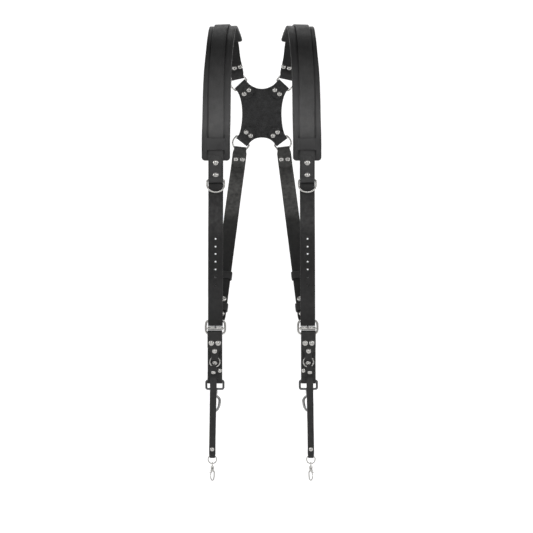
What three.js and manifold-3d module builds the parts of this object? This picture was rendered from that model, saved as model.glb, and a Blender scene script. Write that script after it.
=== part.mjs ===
// A leather shoulder harness: a yoke on the back, two padded shoulder straps, two front straps
// with roller buckles, and at each buckle a leash with a swivel snap and a thin safety strap.
// Millimetres, +Z up, -Y to the front, +X to the wearer's left. The origin lies midway between
// the two shoulders, level with the underside of the pads at their highest point.
import * as THREE from "three";
import { mergeVertices } from "three/addons/utils/BufferGeometryUtils.js";
import Module from "manifold-3d";

const wasm = await Module();
wasm.setup();

// Leather
const STRAP_WIDTH = 25.4;
const LEATHER = 3;
const GAP = 0.3; // left between two pieces that touch
const PAD_WIDTH = 50;
const PAD_THICK = 5;
const BRIDGE_LENGTH = 21; // the stretch of pad that the strap passes under
const BRIDGE_INSET = 18; // from the pad's end to the bridge
const BRIDGE_THICK = 2.5;
const TONGUE_WIDTH = 20;
const TONGUE_RISE = 43; // from the front ring's bar to the tongue's tip
const HOLE_RADIUS = 1.9;
const HOLE_PITCH = 13.6;
const HOLE_COUNT = 12;
const FIRST_HOLE_Z = -380;
const KEEPER_WIDTH = 14;
const KEEPER_WALL = 2;
const SAFETY_WIDTH = 12.4;
const SAFETY_THICK = 2.4;

// Where the harness lies on its wearer
const CHEST_X = 80; // from the middle to each front strap
const CHEST_DEPTH = 94.5; // from the shoulder's crest forward to the pad's lower end
const PAD_DROP = 243.5; // from the crest down to the pad's lower end
const BACK_DEPTH = 105; // from the crest back to the yoke
const BUCKLE_X = 82.3;
const BUCKLE_DEPTH = 46;
const BUCKLE_Z = -525.3; // the buckle's top bar
const FRONT_RING_Z = -277.9; // the front ring's bar

// Yoke
const YOKE_Z = -141.8;
const YOKE_WAIST = 36.2; // from the middle to its side
const YOKE_HALF_HEIGHT = 45.7; // from its centre to the middle of its top edge
const ARM_RISE = 55; // from its centre up or down to the fold of an arm
const UPPER_ARM_X = 42;
const LOWER_ARM_X = 38.2;
const UPPER_ARM_ANGLE = 47; // degrees from level
const LOWER_ARM_ANGLE = 52.5;

// Rings
const RING_WIRE = 3.2;
const RING_HALF = 15.1; // half the bar, to the wire's centre
const RING_SIDE = 9; // the straight sides of the D
const RING_ARC = 12; // the height of its bow
const O_RING_WIRE = 2.2;
const O_RING_RADIUS = 8.9;
const CLASP_RING_WIRE = 2;
const CLASP_RING_RADIUS = 7.5;

// Buckle
const FRAME_WIRE = 3.6;
const FRAME_HALF = 16.9;
const FRAME_HEIGHT = 23.7; // between its top and bottom bars
const ROLLER_RADIUS = 3.2;
const ROLLER_DROP = 13.7; // from the top bar to the roller
const ROLLER_PIN = 1.1;

// Swivel snap
const LEASH_WIDTH = 25.4;
const LEASH_LENGTH = 83.5; // from the buckle's bottom bar to the bar of the snap's eye
const EYE_HALF = 15.25;
const EYE_HEIGHT = 14.6;
const EYE_WIRE = 4;
const HOOK_WIRE = 4.6;
const HOOK_HALF = 8;
const HOOK_LENGTH = 38;

// Small clasp
const CLASP_LENGTH = 26;
const CLASP_HALF = 3.4;
const CLASP_WIRE = 2.2;
const SAFETY_CLEAR = 13; // how far it hangs in front of the snap
const SAFETY_LENGTH = 146; // from its upper rivet to the small ring's wire

// Screws
const HEAD_RADIUS = 4.8;
const HEAD_HEIGHT = 2;
const POST_RADIUS = 2.1;
const SEAT_RADIUS = 3.9;
const SEAT_HEIGHT = 1.2;
const SCREW_SPREAD = 12; // between the two screws of a pair

const BLACK_LEATHER = { color: 0x17171a, roughness: 0.55, metalness: 0 };
const NICKEL = { color: 0xc9c7c2, roughness: 0.22, metalness: 1 };
const DARK_NICKEL = { color: 0x5d5c5b, roughness: 0.25, metalness: 1 };

const X = new THREE.Vector3(1, 0, 0);
const UP = new THREE.Vector3(0, 0, 1);
const DOWN = new THREE.Vector3(0, 0, -1);
const FRONT = new THREE.Vector3(0, -1, 0);
const BACK = new THREE.Vector3(0, 1, 0);
const degrees = THREE.MathUtils.degToRad;
const smooth = (share) => THREE.MathUtils.smoothstep(share, 0, 1);
const at = (x, y, z) => new THREE.Vector3(x, y, z);
const move = (p, direction, length) => p.clone().addScaledVector(direction, length);
const count = (n) => Array.from({ length: n }, (_, i) => i);
const TURN_STEPS = 6; // in a strap's turn round a bar

// A closed body from rows of section corners: neighbouring rows are joined, and an open row of
// sections gets a cap at each end. Its faces are turned outwards.
function bodyOf(rows, section, loops) {
  const sides = rows[0].length;
  const faces = [];
  const joins = loops ? rows.length : rows.length - 1;
  for (let i = 0; i < joins; i++) {
    const next = (i + 1) % rows.length;
    for (let j = 0; j < sides; j++) {
      const beside = (j + 1) % sides;
      faces.push([i * sides + j, i * sides + beside, next * sides + beside]);
      faces.push([i * sides + j, next * sides + beside, next * sides + j]);
    }
  }
  if (!loops) {
    const last = (rows.length - 1) * sides;
    for (const [a, b, c] of THREE.ShapeUtils.triangulateShape(section, [])) {
      faces.push([a, c, b]);
      faces.push([last + a, last + b, last + c]);
    }
  }
  const points = rows.flat();
  let volume = 0;
  for (const [a, b, c] of faces) {
    volume += points[a].dot(new THREE.Vector3().crossVectors(points[b], points[c]));
  }
  const outward = volume < 0 ? faces.map(([a, b, c]) => [a, c, b]) : faces;
  const geometry = new THREE.BufferGeometry();
  geometry.setAttribute(
    "position",
    new THREE.Float32BufferAttribute(points.flatMap((p) => [p.x, p.y, p.z]), 3),
  );
  geometry.setIndex(outward.flat());
  return geometry;
}

// Each point of a path gets the direction of the path there, its own across direction squared
// to that, and the face direction square to both.
function framesOf(path, loops = false) {
  return path.map((point, i) => {
    const n = path.length;
    const before = loops ? path[(i + n - 1) % n] : path[Math.max(i - 1, 0)];
    const after = loops ? path[(i + 1) % n] : path[Math.min(i + 1, n - 1)];
    const along = after.p.clone().sub(before.p).normalize();
    const across = move(point.a, along, -point.a.dot(along)).normalize();
    const face = new THREE.Vector3().crossVectors(along, across);
    return { ...point, along, a: across, face };
  });
}

// Sweeps a section along a path. The section gives its corners as [across, face] for each point.
function sweep(path, sectionAt, loops = false) {
  const frames = framesOf(path, loops);
  const rows = frames.map((f, i) =>
    sectionAt(f, i).map(([a, h]) => move(move(f.p, f.a, a), f.face, h)),
  );
  const flat = sectionAt(frames[0], 0).map(([a, h]) => new THREE.Vector2(a, h));
  return bodyOf(rows, flat, loops);
}

// A strap of leather along a path whose points carry their own width.
function strapAlong(path, thick = LEATHER) {
  const h = thick / 2;
  return sweep(path, ({ w }) => [
    [-w / 2, -h],
    [w / 2, -h],
    [w / 2, h],
    [-w / 2, h],
  ]);
}

// A round wire along a path, with a radius of its own at each point where r is given.
function wireAlong(path, radius, sides = 6, loops = false) {
  return sweep(
    path,
    ({ r = radius }) =>
      count(sides).map((k) => {
        const turn = (2 * Math.PI * (k + 0.5)) / sides;
        return [r * Math.cos(turn), r * Math.sin(turn)];
      }),
    loops,
  );
}

const solidOf = (geometry) => {
  const bare = mergeVertices(geometry);
  return new wasm.Manifold(
    new wasm.Mesh({
      numProp: 3,
      vertProperties: new Float32Array(bare.getAttribute("position").array),
      triVerts: new Uint32Array(bare.index.array),
    }),
  );
};

const geometryOf = (solid) => {
  const mesh = solid.simplify(0.02).getMesh();
  const geometry = new THREE.BufferGeometry();
  geometry.setAttribute("position", new THREE.BufferAttribute(mesh.vertProperties, 3));
  geometry.setIndex(new THREE.BufferAttribute(mesh.triVerts, 1));
  return geometry;
};

const joined = (first, ...others) =>
  geometryOf(others.reduce((all, g) => all.add(solidOf(g)), solidOf(first)));

const cut = (base, ...tools) =>
  geometryOf(tools.reduce((rest, g) => rest.subtract(solidOf(g)), solidOf(base)));

// A body turned about an axis: its profile holds [radius, distance along the axis].
function turned(origin, axis, profile, sides = 8) {
  const points = profile.map(([r, y]) => new THREE.Vector2(r, y));
  const geometry = new THREE.LatheGeometry(points, sides);
  geometry.deleteAttribute("normal");
  geometry.deleteAttribute("uv");
  const turn = new THREE.Quaternion().setFromUnitVectors(new THREE.Vector3(0, 1, 0), axis);
  geometry.applyQuaternion(turn);
  geometry.translate(origin.x, origin.y, origin.z);
  const body = mergeVertices(geometry, 1e-4);
  const corners = body.index.array;
  const faces = count(corners.length / 3)
    .map((i) => [corners[3 * i], corners[3 * i + 1], corners[3 * i + 2]])
    .filter(([a, b, c]) => a !== b && b !== c && c !== a);
  body.setIndex(faces.flat());
  return body;
}

const rod = (origin, axis, from, to, radius, sides = 8) =>
  turned(
    origin,
    axis,
    [
      [0, from],
      [radius, from],
      [radius, to],
      [0, to],
    ],
    sides,
  );

// A rounded end that carries a path on from its last point by the given depth.
function roundTip(path, depth, steps = 3) {
  const last = path[path.length - 1];
  const direction = last.p.clone().sub(path[path.length - 2].p).normalize();
  return count(steps).map((i) => {
    const angle = ((Math.PI / 2) * (i + 1)) / (steps + 0.35);
    return {
      p: move(last.p, direction, depth * Math.sin(angle)),
      a: last.a,
      w: last.w * Math.cos(angle),
    };
  });
}

const withTip = (path, depth) => [...path, ...roundTip(path, depth)];

const withBothTips = (path, depth) => withTip(withTip(path, depth).reverse(), depth).reverse();

// A strap's turn round a bar, seen from its edge. The main layer arrives on one side of the bar,
// the leather goes round below it, and the flap returns on the other side and closes on the main
// layer. The turn lies lower than the bar by its drop, where a bowed wire needs the room.
function turnRound(seat, shape) {
  const { origin, along, face } = seat;
  const across = new THREE.Vector3().crossVectors(along, face);
  const { radius, drop = 0, width, close, lap, rest, widthAt = () => width } = shape;
  const place = (u, h) => ({
    p: move(move(origin, along, u), face, h),
    a: across,
    w: widthAt(u),
  });
  const arc = count(TURN_STEPS + 1).map((i) => {
    const angle = Math.PI * (i / TURN_STEPS - 0.5);
    return place(-drop - radius * Math.cos(angle), radius * Math.sin(angle));
  });
  const closing = [0.33, 0.67, 1].map((share) =>
    place(share * close, THREE.MathUtils.lerp(radius, rest, smooth(share))),
  );
  return [...arc, place(0, radius), ...closing, place(lap, rest)];
}

const turnRadius = (wire, thick = LEATHER) => wire / 2 + GAP + thick / 2;

// How far a round ring's wire falls away from its top at the edges of a fold of this width.
const bowDrop = (radius, width) => radius - Math.sqrt(radius ** 2 - (width / 2) ** 2) + 2 * GAP;

// A smooth path through rows of points, sampled evenly.
function pathThrough(rows, steps) {
  const curve = new THREE.CatmullRomCurve3(rows.map((row) => row.p), false, "centripetal");
  return count(steps + 1).map((i) => {
    const share = i / steps;
    const u = curve.getUtoTmapping(share) * (rows.length - 1);
    const k = Math.min(Math.floor(u), rows.length - 2);
    const within = u - k;
    return {
      p: curve.getPoint(curve.getUtoTmapping(share)),
      a: rows[k].a.clone().lerp(rows[k + 1].a, within),
      w: THREE.MathUtils.lerp(rows[k].w ?? STRAP_WIDTH, rows[k + 1].w ?? STRAP_WIDTH, within),
      side: THREE.MathUtils.lerp(rows[k].side ?? 0, rows[k + 1].side ?? 0, within),
    };
  });
}

// The outline of a D: a straight bar with small corner arcs, straight sides and a bow.
function ringOutline() {
  const corner = 2.2;
  const bow = 12;
  const bend = [0, 0.5, 1].map((share) => {
    const angle = (share * Math.PI) / 2;
    return [RING_HALF - corner + corner * Math.sin(angle), corner - corner * Math.cos(angle)];
  });
  const arc = count(bow + 1).map((i) => {
    const angle = (Math.PI * i) / bow;
    return [RING_HALF * Math.cos(angle), RING_SIDE + RING_ARC * Math.sin(angle)];
  });
  const left = bend.map(([d, o]) => [-d, o]).reverse();
  return [...bend, ...arc, ...left];
}

const placed = (outline, origin, across, out) =>
  outline.map(([d, o]) => ({
    p: move(move(origin, across, d), out, o),
    a: new THREE.Vector3().crossVectors(across, out),
  }));

const circle = (radius, steps) =>
  count(steps).map((i) => {
    const angle = (2 * Math.PI * i) / steps;
    return [radius * Math.cos(angle), radius * Math.sin(angle)];
  });

// A rounded rectangle, from its top bar down: its corners are bends of the given radius.
function frameOutline(half, height, corner) {
  const corners = [
    [half - corner, -corner, 0],
    [-half + corner, -corner, 1],
    [-half + corner, -height + corner, 2],
    [half - corner, -height + corner, 3],
  ];
  return corners.flatMap(([d, o, quarter]) =>
    [0, 0.5, 1].map((share) => {
      const angle = ((quarter + share) * Math.PI) / 2;
      return [d + corner * Math.cos(angle), o + corner * Math.sin(angle)];
    }),
  );
}

// Two-part screw through a stack of leather: a domed head in front, a post and a flat back.
function screw(seat, axis, grip) {
  const back = -grip - GAP;
  return turned(seat, axis, [
    [0, back - SEAT_HEIGHT],
    [SEAT_RADIUS, back - SEAT_HEIGHT],
    [SEAT_RADIUS, back],
    [POST_RADIUS, back],
    [POST_RADIUS, GAP],
    [HEAD_RADIUS, GAP],
    [HEAD_RADIUS * 0.6, GAP + HEAD_HEIGHT],
    [0, GAP + HEAD_HEIGHT],
  ]);
}

const screwHole = (seat, axis, grip) =>
  rod(seat, axis, -grip - 4, 4, POST_RADIUS + GAP);

const screwSeat = (seat, axis) => rod(seat, axis, 0, 8, HEAD_RADIUS + GAP);

const ARM_CLOSE = 12; // from a ring's bar to where an arm's flap lies on the plate
const ARM_LAP = 19; // from the bar to the flap's tip

// Yoke: a plate with four waists and an arm at each corner, folded forward round a ring's bar.
const armSeats = [
  { x: UPPER_ARM_X, up: 1, angle: UPPER_ARM_ANGLE },
  { x: LOWER_ARM_X, up: -1, angle: LOWER_ARM_ANGLE },
].map(({ x, up, angle }) => {
  const out = at(Math.cos(degrees(angle)), 0, up * Math.sin(degrees(angle)));
  const fold = at(x, BACK_DEPTH - turnRadius(RING_WIRE), YOKE_Z + up * ARM_RISE);
  const bar = move(fold, out, -turnRadius(RING_WIRE) - LEATHER / 2);
  return { out, bar, side: at(out.z * up, 0, -out.x * up) };
});
const [UPPER_ARM, LOWER_ARM] = armSeats;

function yoke() {
  const start = (seat) => move(seat.bar, seat.out, -2);
  const corner = (seat, side) => move(start(seat), seat.side, (side * STRAP_WIDTH) / 2);
  const flat = (p) => new THREE.Vector2(p.x, p.z);
  const shape = new THREE.Shape();
  const [topOuter, topInner] = [corner(UPPER_ARM, 1), corner(UPPER_ARM, -1)].map(flat);
  const [lowOuter, lowInner] = [corner(LOWER_ARM, 1), corner(LOWER_ARM, -1)].map(flat);
  const waist = new THREE.Vector2(YOKE_WAIST, YOKE_Z);
  const top = new THREE.Vector2(0, YOKE_Z + YOKE_HALF_HEIGHT);
  const low = new THREE.Vector2(0, YOKE_Z - YOKE_HALF_HEIGHT);
  const bendIn = 7; // how far an arm's edge pulls the curve straight on
  const hollowBend = 22; // the same at the middle of a hollow
  const inward = (tip, seat) =>
    tip.clone().add(new THREE.Vector2(-seat.out.x, -seat.out.z).multiplyScalar(bendIn));
  const right = (p) => new THREE.Vector2(-p.x, p.y);
  const curve = (c1, c2, to) => shape.bezierCurveTo(c1.x, c1.y, c2.x, c2.y, to.x, to.y);
  const upWaist = waist.clone().add(new THREE.Vector2(0, hollowBend));
  const downWaist = waist.clone().add(new THREE.Vector2(0, -hollowBend));
  shape.moveTo(top.x, top.y);
  curve(top.clone().add(new THREE.Vector2(hollowBend, 0)), inward(topInner, UPPER_ARM), topInner);
  shape.lineTo(topOuter.x, topOuter.y);
  curve(inward(topOuter, UPPER_ARM), upWaist, waist);
  curve(downWaist, inward(lowOuter, LOWER_ARM), lowOuter);
  shape.lineTo(lowInner.x, lowInner.y);
  curve(inward(lowInner, LOWER_ARM), low.clone().add(new THREE.Vector2(hollowBend, 0)), low);
  curve(
    right(low.clone().add(new THREE.Vector2(hollowBend, 0))),
    right(inward(lowInner, LOWER_ARM)),
    right(lowInner),
  );
  shape.lineTo(-lowOuter.x, lowOuter.y);
  curve(right(inward(lowOuter, LOWER_ARM)), right(downWaist), right(waist));
  curve(right(upWaist), right(inward(topOuter, UPPER_ARM)), right(topOuter));
  shape.lineTo(-topInner.x, topInner.y);
  curve(
    right(inward(topInner, UPPER_ARM)),
    right(top.clone().add(new THREE.Vector2(hollowBend, 0))),
    top,
  );
  const plate = new THREE.ExtrudeGeometry(shape, {
    depth: LEATHER,
    bevelEnabled: false,
    curveSegments: 5,
  });
  plate.deleteAttribute("normal");
  plate.deleteAttribute("uv");
  plate.rotateX(Math.PI / 2);
  plate.translate(0, BACK_DEPTH + LEATHER / 2, 0);
  const armWidth = STRAP_WIDTH + 0.4; // a little over the plate's, so that the two join cleanly
  const arms = armSeats.flatMap((seat) =>
    [1, -1].map((hand) => {
      const mirror = (v) => at(v.x * hand, v.y, v.z);
      const back = mirror(seat.out).negate();
      const fold = {
        radius: turnRadius(RING_WIRE),
        width: armWidth,
        close: ARM_CLOSE,
        lap: ARM_LAP,
        rest: LEATHER + GAP - turnRadius(RING_WIRE),
      };
      const path = turnRound({ origin: mirror(seat.bar), along: back, face: FRONT }, fold);
      const main = [9, 4].map((u) => ({
        p: move(move(mirror(seat.bar), back, u), FRONT, -fold.radius),
        a: path[0].a,
        w: u > 4 ? armWidth - 6 : armWidth,
      }));
      return strapAlong(withTip([...main, ...path], 9));
    }),
  );
  return joined(plate, ...arms);
}

// Each ring on the yoke: its bar lies in an arm's fold, its bow carries a strap.
const yokeRing = (seat) =>
  wireAlong(
    placed(ringOutline(), seat.bar, seat.side, seat.out),
    RING_WIRE / 2,
    6,
    true,
  );

// Where a strap hangs on a ring's bow: at the bow's furthest point in the strap's direction. The
// fold is narrower than the strap, and the wire falls away by drop towards the fold's edges.
function hookOn(seat, along, foldWidth) {
  const wire = placed(ringOutline(), seat.bar, seat.side, seat.out).map(({ p }) => p);
  const across = new THREE.Vector3().crossVectors(along, FRONT);
  const dense = wire.flatMap((p, i) => {
    const next = wire[(i + 1) % wire.length];
    return count(8).map((k) => p.clone().lerp(next, k / 8));
  });
  const height = (p) => p.dot(along);
  const far = dense.reduce((best, p) => (height(p) > height(best) ? p : best));
  const near = dense.filter(
    (p) => Math.abs(p.clone().sub(far).dot(across)) < foldWidth / 2 && height(p) > height(seat.bar),
  );
  const edges = near.filter((p) => height(p) > height(far) - RING_HALF);
  const drop = Math.max(...edges.map((p) => height(far) - height(p))) + GAP;
  return { origin: far, drop, along, face: FRONT };
}

const FOLD_WIDTH = 17.5; // of a strap's turn on a bow
const UPPER_PULL = at(0.22, 0, 0.975).normalize();
const upperHook = hookOn(UPPER_ARM, UPPER_PULL, FOLD_WIDTH);

const RING_TURN = {
  radius: turnRadius(RING_WIRE),
  close: 15,
  lap: 24,
  rest: LEATHER + GAP - turnRadius(RING_WIRE),
  widthAt: (u) => THREE.MathUtils.lerp(FOLD_WIDTH, STRAP_WIDTH, smooth((u + 1) / 6)),
};

// The pad's course from its rear end over the shoulder to its lower end in front. Columns: x, y
// and z as shares of CHEST_X, CHEST_DEPTH and PAD_DROP, the turn of its width in degrees, and
// how far the strap lies off the pad's middle, as a share of the strap's width.
const PAD_COURSE = [
  [0.75, 0.656, -0.053, 8, -0.12],
  [0.813, 0.296, -0.004, 10, 0],
  [0.869, -0.085, 0.0103, 12, 0.07],
  [0.906, -0.402, -0.074, 16, 0.06],
  [0.94, -0.656, -0.205, 18, 0.02],
  [0.969, -0.815, -0.349, 14, 0],
  [0.9825, -0.915, -0.513, 9, 0],
  [0.99, -0.968, -0.698, 5, -0.02],
  [1, -0.995, -0.842, 2, -0.02],
  [1, -1, -1, 0, 0],
];
const padRows = PAD_COURSE.map(([x, y, z, yaw, side]) => ({
  p: at(x * CHEST_X, y * CHEST_DEPTH, z * PAD_DROP),
  a: at(Math.cos(degrees(yaw)), Math.sin(degrees(yaw)), 0),
  w: PAD_WIDTH,
  side: side * STRAP_WIDTH,
}));
const PAD_STEPS = 48;
const padPath = pathThrough(padRows, PAD_STEPS);
const padFrames = framesOf(padPath);
const padLengths = padPath.reduce(
  (sums, { p }, i) => [...sums, i ? sums[i - 1] + p.distanceTo(padPath[i - 1].p) : 0],
  [],
);
const PAD_LENGTH = padLengths[PAD_STEPS];
const REAR_STRAIGHT = 16; // how far the shoulder strap leaves the yoke ring straight
const BACK_STRAIGHT = 26; // the same for the back strap
const STRAP_LIFT = PAD_THICK / 2 + 2.5 * GAP + LEATHER / 2; // the strap's middle above the pad's

// The pad's frame at a distance along it, between two sampled frames.
function padAt(distance) {
  const passed = padLengths.filter((length) => length <= distance).length;
  const k = Math.min(passed - 1, PAD_STEPS - 1);
  const share = (distance - padLengths[k]) / (padLengths[k + 1] - padLengths[k]);
  const between = (key) => padFrames[k][key].clone().lerp(padFrames[k + 1][key], share);
  return {
    p: between("p"),
    a: between("a").normalize(),
    face: between("face").normalize(),
    side: THREE.MathUtils.lerp(padFrames[k].side, padFrames[k + 1].side, share),
  };
}

// The distances at which both the pad and the strap on it are sampled, so that they stay parallel.
const PAD_CORNER = 6;
const STRAP_LEAVES = PAD_LENGTH - BRIDGE_INSET + 1.5; // where the strap comes off the pad again
const padStations = count(27).map((i) => THREE.MathUtils.lerp(10, STRAP_LEAVES, i / 26));

// Pad: a long panel with rounded corners and, near each end, a bridge that the strap goes under.
function pad() {
  const corner = PAD_CORNER;
  const ends = [0, 0.2, 1].map((share) => share * corner);
  const stations = [...ends, ...padStations, ...ends.map((d) => PAD_LENGTH - d).reverse()];
  const path = stations.map((distance) => {
    const { p, a } = padAt(distance);
    const end = Math.min(distance, PAD_LENGTH - distance);
    const short = corner - Math.sqrt(corner ** 2 - Math.max(corner - end, 0) ** 2);
    return { p, a, w: PAD_WIDTH - 2 * short };
  });
  const panel = strapAlong(path, PAD_THICK);
  const strapHalf = STRAP_WIDTH / 2 + 1;
  const under = STRAP_LIFT + LEATHER / 2 + 3 * GAP;
  const over = under + BRIDGE_THICK;
  const foot = strapHalf + 9;
  const bridges = [BRIDGE_INSET, PAD_LENGTH - BRIDGE_INSET - BRIDGE_LENGTH];
  const run = (from, length, steps) =>
    count(steps + 1).map((i) => {
      const { p, a, side } = padAt(from + (length * i) / steps);
      return { p: move(p, a, side), a };
    });
  const arches = bridges.map((from) =>
    sweep(run(from, BRIDGE_LENGTH, 3), () => [
      [-foot, 0],
      [-strapHalf, 0],
      [-strapHalf, under],
      [strapHalf, under],
      [strapHalf, 0],
      [foot, 0],
      [foot, PAD_THICK / 2 + 0.2],
      [strapHalf + 2, over],
      [-strapHalf - 2, over],
      [-foot, PAD_THICK / 2 + 0.2],
    ]),
  );
  const windows = bridges.map((from) =>
    sweep(run(from - 1.5, BRIDGE_LENGTH + 3, 3), () => [
      [-strapHalf, -PAD_THICK],
      [strapHalf, -PAD_THICK],
      [strapHalf, PAD_THICK],
      [-strapHalf, PAD_THICK],
    ]),
  );
  return joined(cut(panel, ...windows), ...arches);
}

// Tongue of the shoulder strap and what its two screws hold, one behind the other.
const MAIN_Y = -CHEST_DEPTH - STRAP_LIFT - LEATHER - GAP;
const FRONT_STRAP_Y = MAIN_Y + LEATHER + GAP;
const frontBar = at(CHEST_X, MAIN_Y - turnRadius(RING_WIRE), FRONT_RING_Z);
const TONGUE_REST = LEATHER + GAP - turnRadius(RING_WIRE);
const TONGUE_FACE = MAIN_Y - LEATHER - GAP - LEATHER / 2;
const TONGUE_GRIP = 3 * LEATHER + 2 * GAP;
const TONGUE_SCREWS = [8.4, 30.1]; // above the ring's bar
const tongueSeats = TONGUE_SCREWS.map((rise) => at(CHEST_X, TONGUE_FACE, FRONT_RING_Z + rise));

function shoulderStrap() {
  const rearTurn = turnRound(upperHook, { ...RING_TURN, drop: upperHook.drop });
  const rearMain = move(upperHook.origin, FRONT, -RING_TURN.radius);
  const rear = [...rearTurn].reverse();
  const rearFlap = withTip([...rearTurn], 7).slice(rearTurn.length).reverse();
  const over = [2, ...padStations].map((distance) => {
    const { p, a, face, side } = padAt(distance);
    return { p: move(move(p, face, STRAP_LIFT), a, side), a };
  });
  const up = (height, y, x) => ({
    p: at(x, y, rearMain.z + height),
    a: X,
  });
  const first = over[0].p;
  const rise = first.z - rearMain.z;
  const back = [
    { p: move(rearMain, UPPER_PULL, 3), a: rearTurn[0].a },
    { p: move(rearMain, UPPER_PULL, REAR_STRAIGHT), a: rearTurn[0].a },
    up(0.5 * rise, BACK_DEPTH - 6, THREE.MathUtils.lerp(rearMain.x, first.x, 0.62)),
    up(0.8 * rise, BACK_DEPTH - 20, THREE.MathUtils.lerp(rearMain.x, first.x, 0.82)),
    over[0],
  ];
  const climb = pathThrough(back, 10).slice(0, -1);
  climb.forEach((point) => {
    const rises = point.p.clone().sub(rearMain).dot(UPPER_PULL);
    point.w = RING_TURN.widthAt(rises);
  });
  const down = [
    { p: at(CHEST_X, MAIN_Y, -PAD_DROP + 7), a: X },
    { p: at(CHEST_X, MAIN_Y, -PAD_DROP - 2), a: X },
    { p: at(CHEST_X, MAIN_Y, FRONT_RING_Z + 14), a: X },
    { p: at(CHEST_X, MAIN_Y, FRONT_RING_Z + 6), a: X },
  ];
  const tongueWidth = (u) =>
    THREE.MathUtils.lerp(STRAP_WIDTH - 1, TONGUE_WIDTH, smooth((u - 1) / 8));
  const tongue = turnRound(
    { origin: frontBar, along: UP, face: FRONT },
    {
      radius: turnRadius(RING_WIRE),
      close: 9,
      lap: TONGUE_RISE - TONGUE_WIDTH / 2,
      rest: TONGUE_REST,
      widthAt: tongueWidth,
    },
  );
  const widths = (points) => points.map((point) => ({ ...point, w: point.w ?? STRAP_WIDTH }));
  const path = [...rearFlap, ...rear, ...climb, ...widths(over), ...widths(down), ...tongue];
  const strap = strapAlong(withTip(path, TONGUE_WIDTH / 2));
  const holes = tongueSeats.map((seat) => screwHole(seat, FRONT, TONGUE_GRIP));
  const seats = tongueSeats.map((seat) => screwSeat(seat, FRONT));
  return cut(strap, ...holes, ...seats);
}

// The buckle's parts hang in one upright plane.
const buckleBar = at(BUCKLE_X, -BUCKLE_DEPTH, BUCKLE_Z);
const leashBar = move(buckleBar, DOWN, FRAME_HEIGHT);
const BAR_TURN = turnRadius(FRAME_WIRE);
const LOOP_DROP = 4.9; // how far the front strap's loop hangs below the bar

// The back strap's course: a straight line from the lower ring to just above the buckle.
const LOWER_PULL = at(0.12, 0, -0.99).normalize();
const lowerHook = hookOn(LOWER_ARM, LOWER_PULL, FOLD_WIDTH);
const BACK_END_Z = BUCKLE_Z + 8;
const RETURN_TIP_Z = -433;
const backStart = move(lowerHook.origin, FRONT, -RING_TURN.radius);
const backEnd = at(BUCKLE_X - 4.6, -BUCKLE_DEPTH + 6, BACK_END_Z);
const backLine = backEnd.clone().sub(backStart).normalize();
const backAcross = move(X, backLine, -X.dot(backLine)).normalize();
const backFace = new THREE.Vector3().crossVectors(backLine, backAcross).normalize();
if (backFace.y > 0) {
  backFace.negate();
}
const backAt = (z, lift = 0) =>
  move(move(backStart, backLine, (z - backStart.z) / backLine.z), backFace, lift);
const ADJUST_ZS = [-487.2, -512.7];
const KEEPER_ZS = [-444.5, -501];
const ADJUST_GRIP = 2 * LEATHER + GAP;
const adjustSeats = ADJUST_ZS.flatMap((z) =>
  [-1, 1].map((side) =>
    move(backAt(z, LEATHER / 2), backAcross, (side * SCREW_SPREAD) / 2),
  ),
);

const LEG_STEPS = 9; // between the front ring and the buckle

function frontStrap() {
  const legTop = at(CHEST_X, FRONT_STRAP_Y, FRONT_RING_Z - 12);
  const legEnd = move(buckleBar, FRONT, BAR_TURN);
  const bowed = (share) => 5 * Math.sin(Math.PI * share); // the leg hangs a little forward
  const leg = count(LEG_STEPS + 1).map((i) => {
    const share = i / LEG_STEPS;
    return { p: move(legTop.clone().lerp(legEnd, share), FRONT, bowed(share)), a: X };
  });
  const front = [{ p: at(CHEST_X, FRONT_STRAP_Y, -PAD_DROP - 4), a: X }, ...leg];
  const loop = count(TURN_STEPS + 1).map((i) => {
    const angle = Math.PI * (i / TURN_STEPS - 0.5);
    return {
      p: at(
        buckleBar.x,
        buckleBar.y + BAR_TURN * Math.sin(angle),
        buckleBar.z - LOOP_DROP - BAR_TURN * Math.cos(angle),
      ),
      a: X,
    };
  });
  const lift = -LEATHER - GAP;
  const back = [
    { p: move(buckleBar, BACK, BAR_TURN), a: X },
    { p: backAt(BACK_END_Z, lift), a: backAcross },
    { p: backAt(ADJUST_ZS[1] - 2, lift), a: backAcross },
    { p: backAt(ADJUST_ZS[0], lift), a: backAcross },
    { p: backAt((ADJUST_ZS[0] + RETURN_TIP_Z) / 2, lift), a: backAcross },
    { p: backAt(RETURN_TIP_Z - 10, lift), a: backAcross },
  ];
  const path = [...front, ...loop, ...pathThrough(back, 9)].map((point) => ({
    ...point,
    w: STRAP_WIDTH,
  }));
  const strap = strapAlong(withBothTips(path, 7));
  const frames = framesOf(front);
  const punched = count(HOLE_COUNT).map((i) => {
    const z = FIRST_HOLE_Z - i * HOLE_PITCH;
    const near = frames.reduce((best, f) =>
      Math.abs(f.p.z - z) < Math.abs(best.p.z - z) ? f : best,
    );
    const seat = move(near.p, near.along, (z - near.p.z) / near.along.z);
    return rod(seat, near.face, -LEATHER, LEATHER, HOLE_RADIUS, 6);
  });
  const holes = tongueSeats.map((seat) => screwHole(seat, FRONT, TONGUE_GRIP));
  const adjust = adjustSeats.map((seat) => screwHole(seat, backFace, ADJUST_GRIP));
  const slotWidth = 2 * (PRONG_RADIUS + 2 * GAP);
  const slotMiddle = move(buckleBar, DOWN, LOOP_DROP + 1.5);
  const slot = strapAlong(
    [
      { p: move(slotMiddle, FRONT, 0.5), a: X, w: slotWidth },
      { p: move(slotMiddle, FRONT, BAR_TURN + LEATHER), a: X, w: slotWidth },
    ],
    11,
  );
  return cut(strap, ...punched, ...holes, ...adjust, slot);
}

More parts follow.
